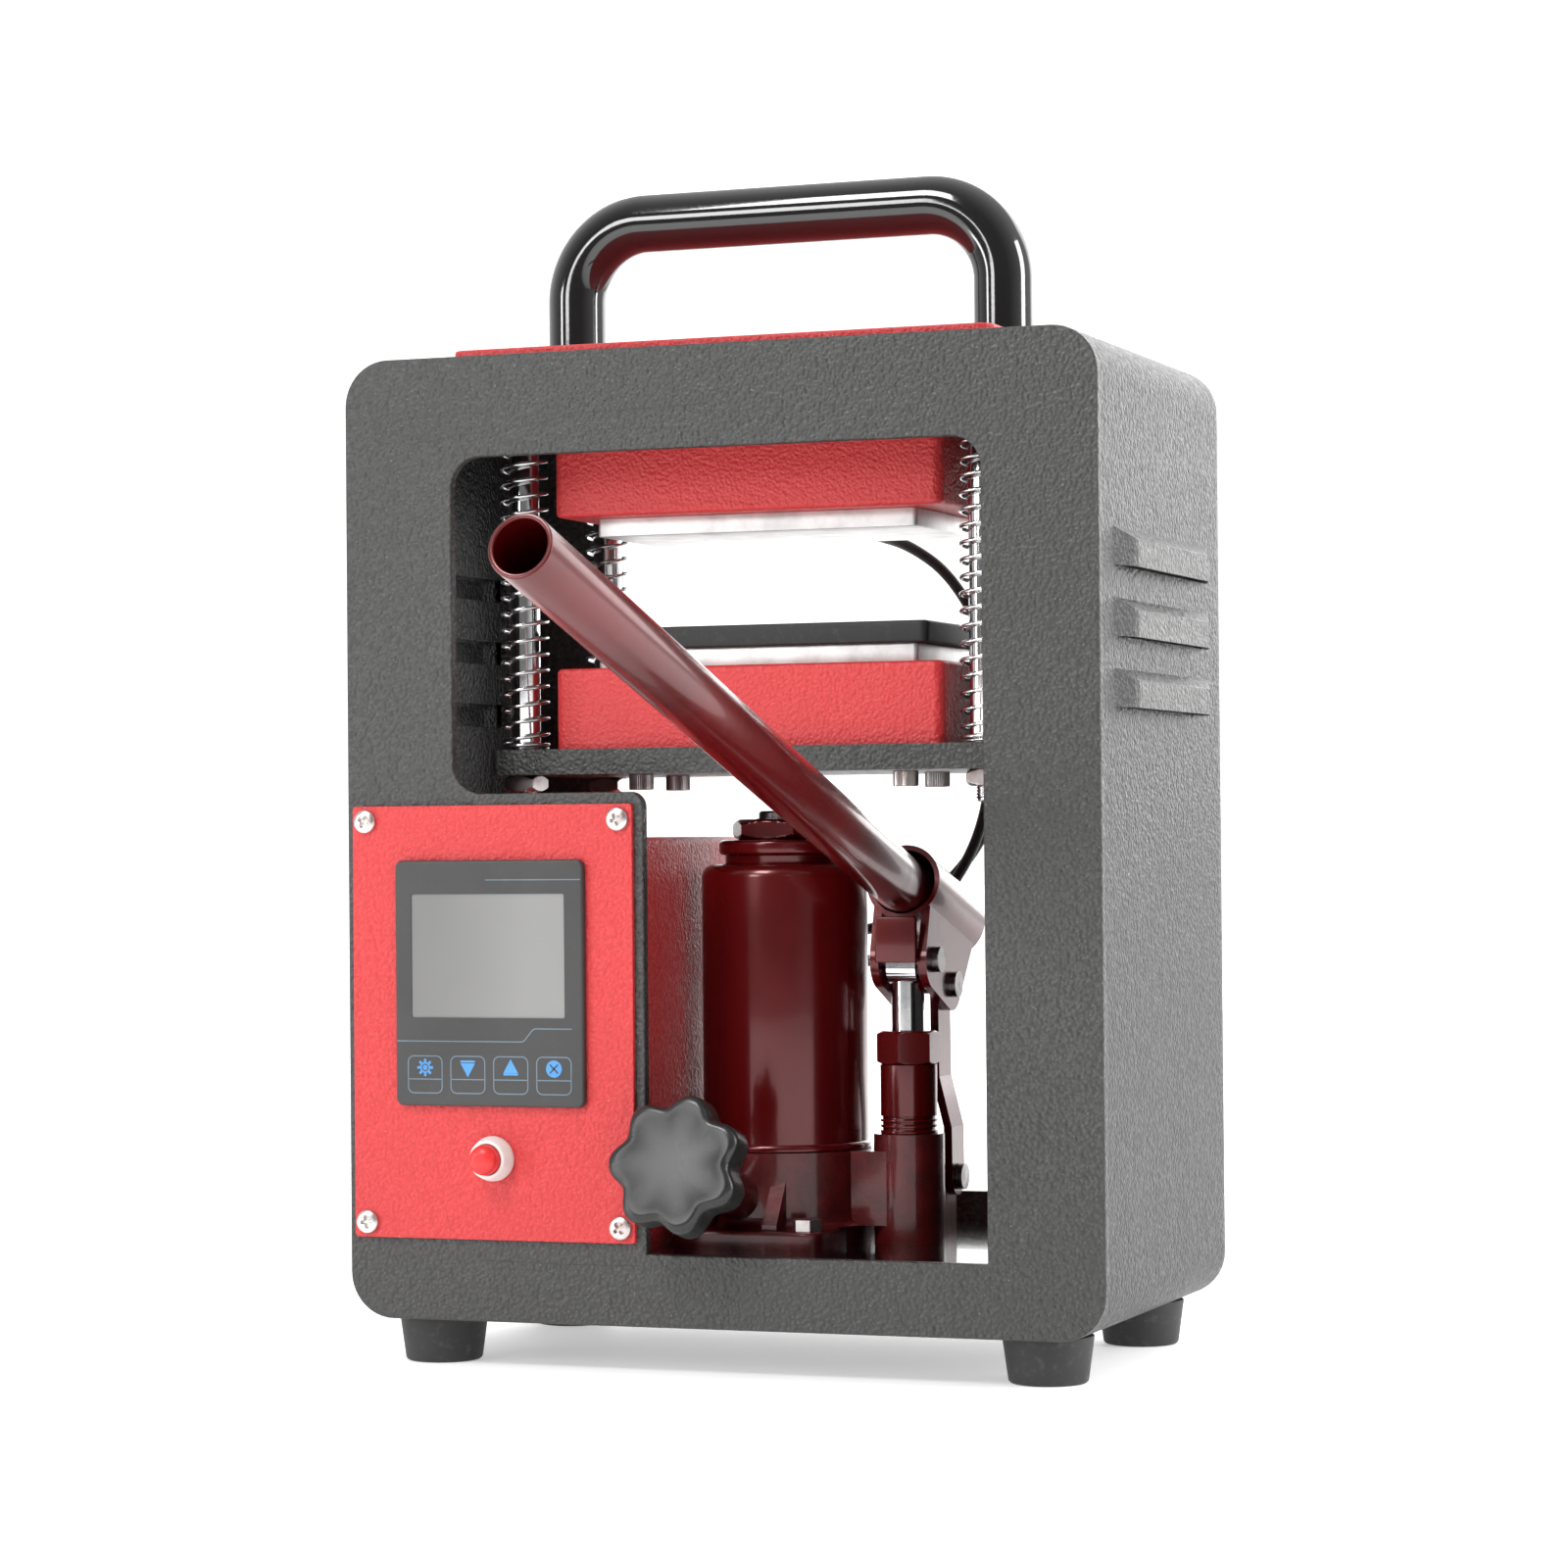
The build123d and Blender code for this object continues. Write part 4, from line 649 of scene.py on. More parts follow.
@dataclass(frozen=True)
class BraidedSleeve:
    """A heat-resistant sleeve, woven: two sets of threads that wind round the lead and cross."""

    colour: Colour
    threads: float = 10.0           # threads round the lead
    pitch: float = 0.012            # how far along one thread winds once round

    def brew(self, name: str) -> Material:
        """Make the material, on the UV map that grid_piece gives: turn round, metres along."""
        recipe = Recipe(name)
        source = recipe.nodes.new("ShaderNodeUVMap")
        source.uv_map = "along"
        parts = recipe.nodes.new("ShaderNodeSeparateXYZ")
        recipe.links.new(source.outputs["UV"], parts.inputs[0])
        around = recipe.sum("MULTIPLY", parts.outputs[0], self.threads * TAU)
        forward = recipe.sum("MULTIPLY", parts.outputs[1], TAU * self.threads / self.pitch)
        one = recipe.sum("SINE", recipe.sum("ADD", around, forward), 0.0)
        other = recipe.sum("SINE", recipe.sum("SUBTRACT", around, forward), 0.0)
        weave = recipe.ramp(recipe.sum("MAXIMUM", one, other), 0.1, 1.0)
        recipe.colour(recipe.blend(weave, darker(self.colour, 0.45), darker(self.colour, 1.3)))
        recipe.vary_roughness(weave, 0.62, 0.42)
        recipe.bump(weave, 0.00018)
        return recipe.material


Finish = GrainCoat | GlossEnamel | CastLacquer | PlatedMetal | Moulded | MilledPlate | PressedBoard
Finish = Finish | DisplayWindow | BraidedSleeve


class Slot(Enum):
    """The record's material slots, each with its finish."""

    casing_black = GrainCoat((0.044, 0.044, 0.0425), 0.0015, 0.0006, 0.4)
    floor_gloss = GlossEnamel((0.006, 0.006, 0.006), 0.1)
    red_coat = GrainCoat((0.6, 0.034, 0.036), 0.0013, 0.00042, 0.44, (0.85, 0.2, 0.18), 0.08)
    grip_gloss = GlossEnamel((0.007, 0.007, 0.0075), 0.09)
    rubber = Moulded((0.02, 0.02, 0.02), 0.58, 0.00006, 0.0006, 0.1)
    zinc = PlatedMetal((0.72, 0.69, 0.67), (0.6, 0.47, 0.45), 0.3)
    rod_chrome = PlatedMetal((0.86, 0.86, 0.87), (0.74, 0.74, 0.76), 0.09, (1.0, 1.0, 25.0), 0.000004)
    spring_steel = PlatedMetal((0.72, 0.72, 0.72), (0.58, 0.57, 0.56), 0.2)
    aluminium = MilledPlate()
    insulation = PressedBoard((0.72, 0.69, 0.6))
    mica = PressedBoard((0.5, 0.4, 0.25), (2.0, 2.0, 9.0))
    silicone = Moulded((0.012, 0.012, 0.012), 0.55, 0.00008, 0.001, 0.05)
    controller_grey = Moulded((0.042, 0.042, 0.042), 0.46, 0.00002, 0.0004, 0.02)
    screen = DisplayWindow((0.2, 0.2, 0.197), (0.29, 0.29, 0.285))
    button_white = Moulded((0.82, 0.8, 0.77), 0.35, 0.000008, 0.0008, 0.05, 0.5, 0.2)
    button_red = Moulded((0.78, 0.03, 0.03), 0.3, 0.000006, 0.0008, 0.02, 0.5, 0.1)
    electric_black = Moulded((0.017, 0.017, 0.018), 0.45)
    relay_grey = Moulded((0.3, 0.3, 0.29), 0.5)
    jack_cast = CastLacquer((0.11, 0.004, 0.005), 0.38, 0.0008, 0.00016, 0.3)
    jack_maroon = GlossEnamel((0.1, 0.002, 0.0028), 0.2, 0.000016, 0.3, 0.3)
    bare_steel = PlatedMetal((0.3, 0.28, 0.28), (0.14, 0.12, 0.12), 0.28, (1.0, 1.0, 0.2))
    knob_black = Moulded((0.018, 0.018, 0.018), 0.27, 0.00001, 0.0007, 0.03)
    lead_black = BraidedSleeve((0.02, 0.02, 0.02))


class Mark(Enum):
    """Finishes of printed marks and rubs, which share a slot with what they lie on."""

    key_line = Moulded((0.14, 0.2, 0.25), 0.4, 0.000004)
    key_icon = Moulded((0.07, 0.28, 0.62), 0.38, 0.000004)
    rub = GrainCoat((0.026, 0.026, 0.025), 0.0012, 0.0002)


class Paint:
    """Keeps one material for each finish."""

    pots: dict[str, Material] = {}

    @classmethod
    def of(cls, finish: "Slot | Mark") -> Material:
        """The material of a named finish, made the first time it is asked for."""
        if finish.name not in cls.pots:
            cls.pots[finish.name] = finish.value.brew(finish.name)
        return cls.pots[finish.name]


def dress(piece: Piece, material: Material) -> None:
    """Give a piece one material."""
    piece.data.materials.clear()
    piece.data.materials.append(material)


def publish(piece: Piece, body: str, slot: Slot, *nodes: str, mark: Optional[Mark] = None) -> Piece:
    """Finish a new piece: give it its slot's material, hang it on its body and hide the nodes that it stands for.

    Args:
        piece: the new piece, in place.
        body: the CAD body that it rides on.
        slot: the record's slot that its finish comes from.
        nodes: CAD nodes that it stands for.
        mark: a printed finish to use in place of the slot's own.

    Returns:
        The same piece.
    """
    dress(piece, Paint.of(mark or slot))
    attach(piece, body)
    if nodes:
        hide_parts(*nodes)
    LOG.info("%s rides on %s in %s, %d faces", piece.name, body, slot.name, len(piece.data.polygons))
    return piece


# ---------------------------------------------------------------- shared small pieces
def loop(*corners: tuple[float, float, float]) -> Array:
    """A closed ring of profile points with rounded corners, for a hollow turned part, in millimetres."""
    first = corners[0]
    return rounded([*corners, (first[0], first[1], 0.0)], 5) * MM


def nut(
    sides: int, across_flats: float, z0: float, z1: float, bore: float, place: Array, turn: float = 0.0
) -> Array:
    """A nut or bolt head in millimetres, its corners taken off by a cone at each face.

    Its reach at each angle is the lesser of the polygon's and the cone's.
    """
    corner = across_flats / 2 / cos(pi / sides) + 0.01
    face = across_flats / 2 * 0.95
    chamfer = (corner - face) * tan(radians(30))
    fall = np.linspace(0.0, 1.0, 6)
    widening = face + (corner - face) * fall
    narrowing = corner + (face - corner) * fall
    radius = np.concatenate([[bore], widening, narrowing, [bore, bore]])
    height = np.concatenate([[z0], z0 + chamfer * fall, z1 - chamfer + chamfer * fall, [z1, z0]])
    angle = np.arange(96) / 96 * TAU
    reach = polygon_reach(sides, across_flats, angle, turn) * MM
    return turned(np.stack([radius, height], -1) * MM, place, 96, reach)


def thread(radius: float, z0: float, z1: float, place: Array, pitch: float = 1.25) -> Array:
    """A screw thread in millimetres.

    The radius falls from crest to root and back once a turn and once a pitch, and shrinks near both ends.
    """
    rows = int((z1 - z0) / pitch * 8) + 1
    height = np.linspace(z0, z1, rows)[:, None]
    angle = (np.arange(40) / 40 * TAU)[None]
    phase = np.mod(height / pitch - angle / TAU, 1.0)
    depth = pitch * 0.55
    end = np.clip(np.minimum(height - z0, z1 - height) / (0.7 * pitch), 0, 1)
    reach = radius - depth * np.abs(2 * phase - 1) - 0.8 * (1 - end)
    grid = np.stack([reach * np.cos(angle), reach * np.sin(angle), height + 0 * angle], -1) * MM
    caps = [np.broadcast_to(np.array([0.0, 0.0, z * MM]), (1, 40, 3)) for z in (z0, z1)]
    return put(np.concatenate([caps[0], grid, caps[1]]), place)


def cross_head(radius: float, height: float, recess: float, place: Array, turn: float) -> Array:
    """A pan head with a cross recess, in millimetres.

    The dome stands height * (0.42 + 0.58 sqrt(1 - share^3.2)) tall, where share runs from the middle to the
    rim.  The recess is a cross whose arms narrow with depth: it falls where the lesser of the two distances
    from the arms' lines is small.

    Args:
        radius: the head's radius.
        height: how tall it is.
        recess: half an arm's width.
        place: where its seat lies, from upright().
        turn: how far the cross is turned, in degrees.

    Returns:
        The grid of points, closed at the seat.
    """
    share = np.linspace(0.0, 1.0, 34)[:, None]
    angle = (np.arange(112) / 112 * TAU)[None]
    reach = share * radius
    x = reach * np.cos(angle - radians(turn))
    y = reach * np.sin(angle - radians(turn))
    near = np.minimum(np.abs(x), np.abs(y))
    within = np.clip((0.56 * radius - reach) / (0.1 * radius), 0, 1)
    arm = np.clip((recess - near) / (0.35 * recess), 0, 1) * within
    core = np.clip((1.7 * recess - reach) / (0.7 * recess), 0, 1)
    dome = height * (0.42 + 0.58 * np.sqrt(np.clip(1 - share**3.2, 0, 1)))
    level = dome - 0.62 * height * np.maximum(arm, core)
    top = np.stack([reach * np.cos(angle), reach * np.sin(angle), level], -1)
    rim = top[-1:].copy()
    rim[..., 2] = 0.0
    seat = np.zeros_like(rim)
    return put(np.concatenate([top, rim, seat]) * MM, place)


def socket_head(
    place: Array, radius: float, height: float, key: float, shank: float, length: float
) -> list[Array]:
    """A socket-head screw in millimetres, its head pointing along the axis and its shank against it.

    The head's side is knurled, 36 low ridges round it, and its hexagonal socket is half as deep as the head.
    """
    angle = np.arange(144) / 144 * TAU
    knurl = radius - 0.1 + 0.1 * np.cos(36 * angle)
    corners = [(shank, 0, 0), (radius, 0, 0.2), (radius, height, 0.5), (key * 0.75, height, 0)]
    outside = rounded(corners, 4) * MM
    body = turned(outside, place, 144, knurl * MM)
    hexagon = polygon_reach(6, key, angle) * MM
    flats, floor = key * 0.62, height * 0.42
    socket = np.array([(key * 0.72, height), (flats, height - 0.25), (flats, height * 0.5), (0.0, floor)])
    inside = turned(socket * MM, place, 144, hexagon)
    inside[0] = body[-1]
    stem = turned(np.array([(0.0, -length), (shank, -length + 0.5), (shank, 0.0)]) * MM, place, 144)
    return [np.concatenate([stem, body[1:], inside[1:]])]


def ribbon(line: Array, width: float, face_y: float, thickness: float = 0.05) -> Array:
    """A printed line in millimetres on a face that looks to the front.

    Each point is moved half the width to both sides, square to the line's direction.

    Args:
        line: points across and up.
        width: the line's width.
        face_y: where the face lies, front to back.
        thickness: how proud the ink stands.

    Returns:
        The grid of points, closed at both ends.
    """
    ahead = np.gradient(line, axis=0)
    ahead /= np.linalg.norm(ahead, axis=1, keepdims=True)
    aside = np.stack([-ahead[:, 1], ahead[:, 0]], -1) * width / 2
    left, right = line + aside, line - aside
    front, back = face_y - thickness, face_y + thickness
    corners = [(left, back), (left, front), (right, front), (right, back)]
    columns = [np.stack([flat[:, 0], np.full(len(flat), y), flat[:, 1]], -1) for flat, y in corners]
    grid = np.stack(columns, 1)
    caps = [np.repeat(grid[k : k + 1].mean(1, keepdims=True), 4, axis=1) for k in (0, -1)]
    return np.concatenate([caps[0], grid, caps[1]]) * MM


def badge(centre: tuple[float, float], reach: Array, face_y: float, thickness: float = 0.06) -> Array:
    """A filled printed shape in millimetres, given by its reach at each angle round its middle."""
    angle = np.arange(len(reach)) / len(reach) * TAU
    across, up = centre[0] + reach * np.cos(angle), centre[1] + reach * np.sin(angle)
    rim = np.stack([across, np.zeros_like(angle), up], -1)
    hub = np.broadcast_to(np.array([centre[0], 0.0, centre[1]]), rim.shape)
    rows = np.stack([hub, rim, rim, hub])
    rows[:2, :, 1] = face_y + thickness
    rows[2:, :, 1] = face_y - thickness
    return rows * MM


# ---------------------------------------------------------------- sub-assemblies
@dataclass
class Casing:
    """The casing's shell, the rubs in its front plate's coat and its rubber feet."""

    skin: float = 0.8               # depth of the outer coat from the shell's outside
    foot_edge: float = 1.6
    foot_bore: float = 3.05
    foot_recess: float = 7.0
    foot_recess_depth: float = 8.0
    foot_bottom: float = 15.0
    foot_top: float = 17.5
    foot_shoulder: float = 3.5      # below the foot's top, where its side turns upright
    rub_proud: float = 0.03

    def dress_sheets(self) -> None:
        """The shell's coat has a painted shadow line where it meets the front plate, and its unlit inside is
        painted near black as shade.
        """
        shell, half = middle("body_shell"), size("body_shell") / 2
        skin = self.skin * MM
        coat = replace(
            Slot.casing_black.value,
            seam_y=high("front_plate").y + 0.0002,
            inside=(half.x - skin, shell.z, half.z - skin),
        )
        dress(frame["nodes"]["body_shell"], coat.brew("casing_seamed"))

    def build_scuffs(self) -> None:
        """Three faint rubs in the front plate's coat, as thin dark lines a hair proud of it."""
        face = low("front_plate").y / MM
        top_band = [(-76.0, 348.5), (-50.0, 352.2), (-20.0, 352.8), (0.0, 353.6)]
        low_band = [(-96.0, 24.0), (-62.0, 23.2), (-30.0, 23.6)]
        column = [(118.0, 55.0), (119.0, 71.0)]
        rows = [
            ribbon(np.array(line), width, face, self.rub_proud)
            for line, width in ((top_band, 0.35), (low_band, 0.3), (column, 0.25))
        ]
        for row in rows:
            row[..., 2] += BASE_Z
        publish(grid_piece("coat_rubs", rows), "frame", Slot.casing_black, mark=Mark.rub)

    def build_feet(self) -> None:
        """Four tapered rubber feet with rounded edges and a recess for the screw."""
        corner = low("rubber_feet")
        far = high("rubber_feet")
        tall = size("rubber_feet").z / MM
        wide = self.foot_top * MM
        bore, recess, depth = self.foot_bore, self.foot_recess, self.foot_recess_depth
        profile = loop(
            (bore, depth, 0), (recess, depth, 0.4), (recess - 0.4, 0, 0.8),
            (self.foot_bottom, 0, self.foot_edge), (self.foot_top - 0.5, tall - self.foot_shoulder, 1.0),
            (self.foot_top, tall, 0.6), (bore, tall, 0),
        )
        grids = []
        for x in (corner.x + wide, far.x - wide):
            for y in (corner.y + wide, far.y - wide):
                grids.append(turned(profile, upright((x, y, 0.0)), 72))
        publish(grid_piece("rubber_foot_set", grids), "frame", Slot.rubber, "rubber_feet")


@dataclass
class TopHandle:
    """The gloss carry handle, bent from tube."""

    bend: float = 31.0              # how far before and after its corner each bend runs
    sides: int = 48

    def build(self) -> None:
        """One tube from leg to leg."""
        low_end, high_end = low("carry_handle"), high("carry_handle")
        radius = size("carry_handle").y / 2
        y = middle("carry_handle").y
        left, right = low_end.x + radius, high_end.x - radius
        foot, crown = low_end.z, high_end.z - radius
        bend = self.bend * MM
        corners = [(left, y, foot, 0), (left, y, crown, bend), (right, y, crown, bend), (right, y, foot, 0)]
        path = rounded(corners, 26)
        grid, _ = tube(path, np.full(len(path), radius), self.sides)
        publish(grid_piece("bent_grip", [grid]), "frame", Slot.grip_gloss, "carry_handle")


@dataclass
class PressGuide:
    """Four chrome rods with square nuts, and the coil springs that push the lift plate down."""

    rod: float = 6.0
    stub: float = 4.0
    nut_flats: float = 13.0
    nut_height: float = 6.5
    wire: float = 0.75              # the spring wire's radius
    pitch: float = 6.4
    closed: float = 1.5             # closed turns at each end of a spring
    turn_points: int = 36

    def corners(self) -> list[tuple[float, float]]:
        """Where the rods stand."""
        near, far = low("guide_rods"), high("guide_rods")
        r = self.rod * MM
        return [(x, y) for x in (near.x + r, far.x - r) for y in (near.y + r, far.y - r)]

    def build(self) -> None:
        """Rods with rolled threads, chamfered nuts and springs with closed end coils."""
        lift, head = low("lift_plate").z / MM, low("head_plate").z / MM
        foot, tip = low("guide_rods").z / MM, high("guide_rods").z / MM
        rods: list[Array] = []
        nuts: list[Array] = []
        for number, (x, y) in enumerate(self.corners()):
            place = upright((x, y, 0.0))
            corners = [(0, lift, 0), (self.rod, lift, 0.4), (self.rod, head, 0.4), (0, head, 0)]
            rods.append(turned(rounded(corners, 4) * MM, place, 64))
            rods += [thread(self.stub, foot, lift, place), thread(self.stub, head, tip, place)]
            turn = radians(6.0 * (number - 1))
            for z in (lift - self.nut_height, high("head_plate").z / MM):
                nuts.append(nut(4, self.nut_flats, z, z + self.nut_height, self.stub * 0.9, place, turn))
        publish(grid_piece("threaded_guide_rods", rods), "frame", Slot.rod_chrome, "guide_rods")
        publish(grid_piece("square_nuts", nuts, crease=25.0), "frame", Slot.zinc, "rod_nuts")
        self.build_springs()

    def build_springs(self) -> None:
        """Springs as a wire on a helix.

        The middle coils rise a pitch a turn.  The last turn and a half at each end rises one wire's
        thickness a turn and its wire is drawn thin, as a ground end is.
        """
        z0, z1 = low("return_springs").z, high("return_springs").z
        coil = (high("return_springs").x - self.corners()[-1][0]) - self.wire * MM
        wire = self.wire * MM
        closed = self.closed
        rise = 2 * wire * closed
        turns = (z1 - z0 - 2 * rise - 2 * wire) / (self.pitch * MM)
        whole = turns + 2 * closed
        t = np.linspace(0.0, whole, int(whole * self.turn_points))
        marks = [0.0, closed, whole - closed, whole]
        height = np.interp(t, marks, [z0 + wire, z0 + wire + rise, z1 - wire - rise, z1 - wire])
        thin = np.interp(t, [0.0, 0.6, whole - 0.6, whole], [0.55, 1.0, 1.0, 0.55])
        grids = []
        for number, (x, y) in enumerate(self.corners()):
            angle = t * TAU + number * 1.9
            path = np.stack([x + coil * np.cos(angle), y + coil * np.sin(angle), height], -1)
            grid, _ = tube(path, wire * thin, 9)
            grids.append(grid)
        springs = grid_piece("coil_springs", grids, crease=60.0)
        publish(springs, "frame", Slot.spring_steel, "return_springs")
        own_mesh(springs)


@dataclass
class Platens:
    """The two heated platens: aluminium plates, the silicone pad and the screws through them."""

    plate_corner: float = 1.6
    plate_edge: float = 0.5
    screw_head: float = 5.0
    screw_height: float = 6.0
    screw_key: float = 5.0
    screw_shank: float = 3.0

    def build(self) -> None:
        """Plates with broken edges, a pad with a soft rim, and eight socket screws."""
        for name, body in (("upper_heat_plate", "frame"), ("lower_heat_plate", "lift")):
            grid = self.block(name, self.plate_corner, self.plate_edge)
            publish(grid_piece(name + "_milled", [grid]), body, Slot.aluminium, name)
        pad = self.block("silicone_pad", 3.0, 1.1)
        publish(grid_piece("pressing_pad", [pad]), "lift", Slot.silicone, "silicone_pad")
        self.build_screws("upper_platen_screws", "frame", 1.0)
        self.build_screws("lower_platen_screws", "lift", -1.0)

    def block(self, node: str, corner: float, edge: float) -> Array:
        """A slab that fills a node's box."""
        side = size(node)
        return slab(side.x, side.y, low(node).z, high(node).z, middle(node), corner * MM, edge * MM)

    def build_screws(self, node: str, body: str, direction: float) -> None:
        """Four screws, with their heads up on the head plate or down under the lift plate."""
        near, far = low(node), high(node)
        r = self.screw_head * MM
        seat = far.z - self.screw_height * MM if direction > 0 else near.z + self.screw_height * MM
        length = (seat - near.z if direction > 0 else far.z - seat) / MM
        grids: list[Array] = []
        for x in (near.x + r, far.x - r):
            for y in (near.y + r, far.y - r):
                place = upright((x, y, seat), (0, 0, direction))
                grids += socket_head(
                    place, self.screw_head, self.screw_height, self.screw_key, self.screw_shank, length
                )
        publish(grid_piece(node + "_knurled", grids, crease=28.0), body, Slot.zinc, node)


@dataclass
class Controls:
    """The red panel with its screws, the controller's printed face and the push button."""

    key_left: float = 5.4
    key_low: float = 5.0
    key_wide: float = 14.5
    key_tall: float = 14.4
    key_pitch: float = 18.27
    key_divider: float = 5.4
    icon_rise: float = 9.9
    line: float = 0.42
    head: float = 4.6
    head_height: float = 2.4
    head_recess: float = 0.72
    screw: float = 1.9
    screw_length: float = 6.0
    button_fit: float = 0.3
    button_barrel: float = 7.7
    contacts: float = 14.0          # the contact block's side
    contacts_deep: float = 11.0

    def build(self) -> None:
        """Everything on the panel."""
        self.build_screws()
        self.build_face()
        self.build_button()

    def build_screws(self) -> None:
        """Four cross-recess pan screws, each turned its own way."""
        near, far = low("panel_screws"), high("panel_screws")
        r = self.head * MM
        seat = low("control_panel").y
        turns = iter((8.0, 61.0, 37.0, 22.0))
        grids = []
        for x in (near.x + r, far.x - r):
            for z in (near.z + r, far.z - r):
                place = upright((x, seat, z), (0, -1, 0))
                grids.append(cross_head(self.head, self.head_height, self.head_recess, place, next(turns)))
                tip = -self.screw_length
                shank = np.array([(0.0, tip), (self.screw, tip), (self.screw, 0.0), (0.0, 0.0)]) * MM
                grids.append(turned(shank, place, 112))
        publish(grid_piece("cross_recess_screws", grids, crease=40.0), "frame", Slot.zinc, "panel_screws")

    def build_face(self) -> None:
        """The printed lines, key outlines and icons."""
        corner = low("controller_bezel") / MM
        face = corner.y
        origin = np.array([corner.x, corner.z])
        angle = np.arange(128) / 128 * TAU
        level = [(38.9, 87.9), (79.2, 87.9)]
        stepped = [(0.6, 25.2, 0), (54.6, 25.2, 1.0), (59.0, 30.3, 1.0), (75.1, 30.3, 0)]
        lines = [
            ribbon(origin + np.array(level), self.line, face),
            ribbon(origin + rounded(stepped, 5), self.line, face),
        ]
        outline, _ = slab_outline(self.key_wide, self.key_tall, 2.4)
        outline = np.concatenate([outline, outline[:1]])
        for number in range(4):
            left = self.key_left + number * self.key_pitch
            centre = origin + np.array([left + self.key_wide / 2, self.key_low + self.key_tall / 2])
            lines.append(ribbon(centre + outline, self.line, face))
            divider = origin + np.array([left, self.key_low + self.key_divider])
            ends = divider + np.array([(0.0, 0.0), (self.key_wide, 0.0)])
            lines.append(ribbon(ends, self.line, face))
        icons, cuts = self.icons(origin, face, angle)
        for name, grids, mark in (
            ("face_lines", lines, Mark.key_line),
            ("face_icons", icons, Mark.key_icon),
            ("icon_cuts", cuts, None),
        ):
            publish(grid_piece(name, grids, crease=20.0), "frame", Slot.controller_grey, mark=mark)

    def icons(self, origin: Array, face: float, angle: Array) -> tuple[list[Array], list[Array]]:
        """A gear, a triangle down, a triangle up and a crossed disc, with the dark shapes cut in them."""
        first = origin + np.array([self.key_left + self.key_wide / 2, self.key_low + self.icon_rise])
        centres = [first + np.array([number * self.key_pitch, 0.0]) for number in range(4)]
        gear = 2.75 + 0.65 * np.clip(2.2 * np.cos(8 * angle), -1, 1)
        down = polygon_reach(3, 3.6, angle, pi / 2)
        up = polygon_reach(3, 3.6, angle, -pi / 2)
        disc = np.full_like(angle, 3.3)
        shapes = [badge(centre, reach, face) for centre, reach in zip(centres, (gear, down, up, disc))]
        for centre, level in ((centres[1], 2.5), (centres[2], -2.3)):
            bar = centre + np.array([(-3.1, level), (3.1, level)])
            shapes.append(ribbon(bar, 0.8, face, 0.06))
        ring = np.concatenate([np.stack([np.cos(angle), np.sin(angle)], -1), [(1.0, 0.0)]])
        cuts = [ribbon(centres[0] + 1.25 * ring, 0.45, face, 0.08)]
        reach = 1.7
        for sign in (-1, 1):
            ends = np.array([(-reach, -sign * reach), (reach, sign * reach)])
            cuts.append(ribbon(centres[3] + ends, 0.6, face, 0.08))
        return shapes, cuts

    def build_button(self) -> None:
        """A domed white collar and a domed red cap."""
        near, far = low("button_cap"), high("button_cap")
        centre = (near + far) / 2
        seat = low("control_panel").y
        place = upright((centre.x, seat, centre.z), (0, -1, 0))
        r = (far.x - near.x) / 2 / MM
        proud = (seat - near.y) / MM
        skirt = (far.y - seat) / MM
        cap = rounded([(0, -skirt, 0), (r, -skirt, 0.3), (r, proud, 0.62 * r), (0, proud, 0)], 12) * MM
        publish(grid_piece("button_dome", [turned(cap, place, 72)]), "button", Slot.button_red, "button_cap")
        collar_r = size("button_body").x / 2 / MM
        collar_h = (seat - low("button_body").y) / MM
        contacts = self.contacts * MM
        depth = (high("button_body").y - seat) / MM - self.contacts_deep
        bore, barrel = r + self.button_fit, self.button_barrel
        collar = loop(
            (bore, -depth, 0), (barrel, -depth, 0.3), (barrel, 0, 0), (collar_r, 0, 0.3),
            (collar_r, 0.25 * collar_h, 0.8), (bore + 1.2, collar_h, 0.8), (bore, collar_h, 0.3),
        )
        back = seat + depth * MM
        block = slab(contacts, contacts, 0.0, self.contacts_deep * MM, Vector((0, 0, 0)), 0.0012, 0.0004)
        block = put(block, upright((centre.x, back, centre.z), (0, 1, 0)))
        grids = [turned(collar, place, 72)]
        publish(grid_piece("button_collar", grids), "frame", Slot.button_white, "button_body")
        publish(grid_piece("button_contacts", [block]), "frame", Slot.electric_black)


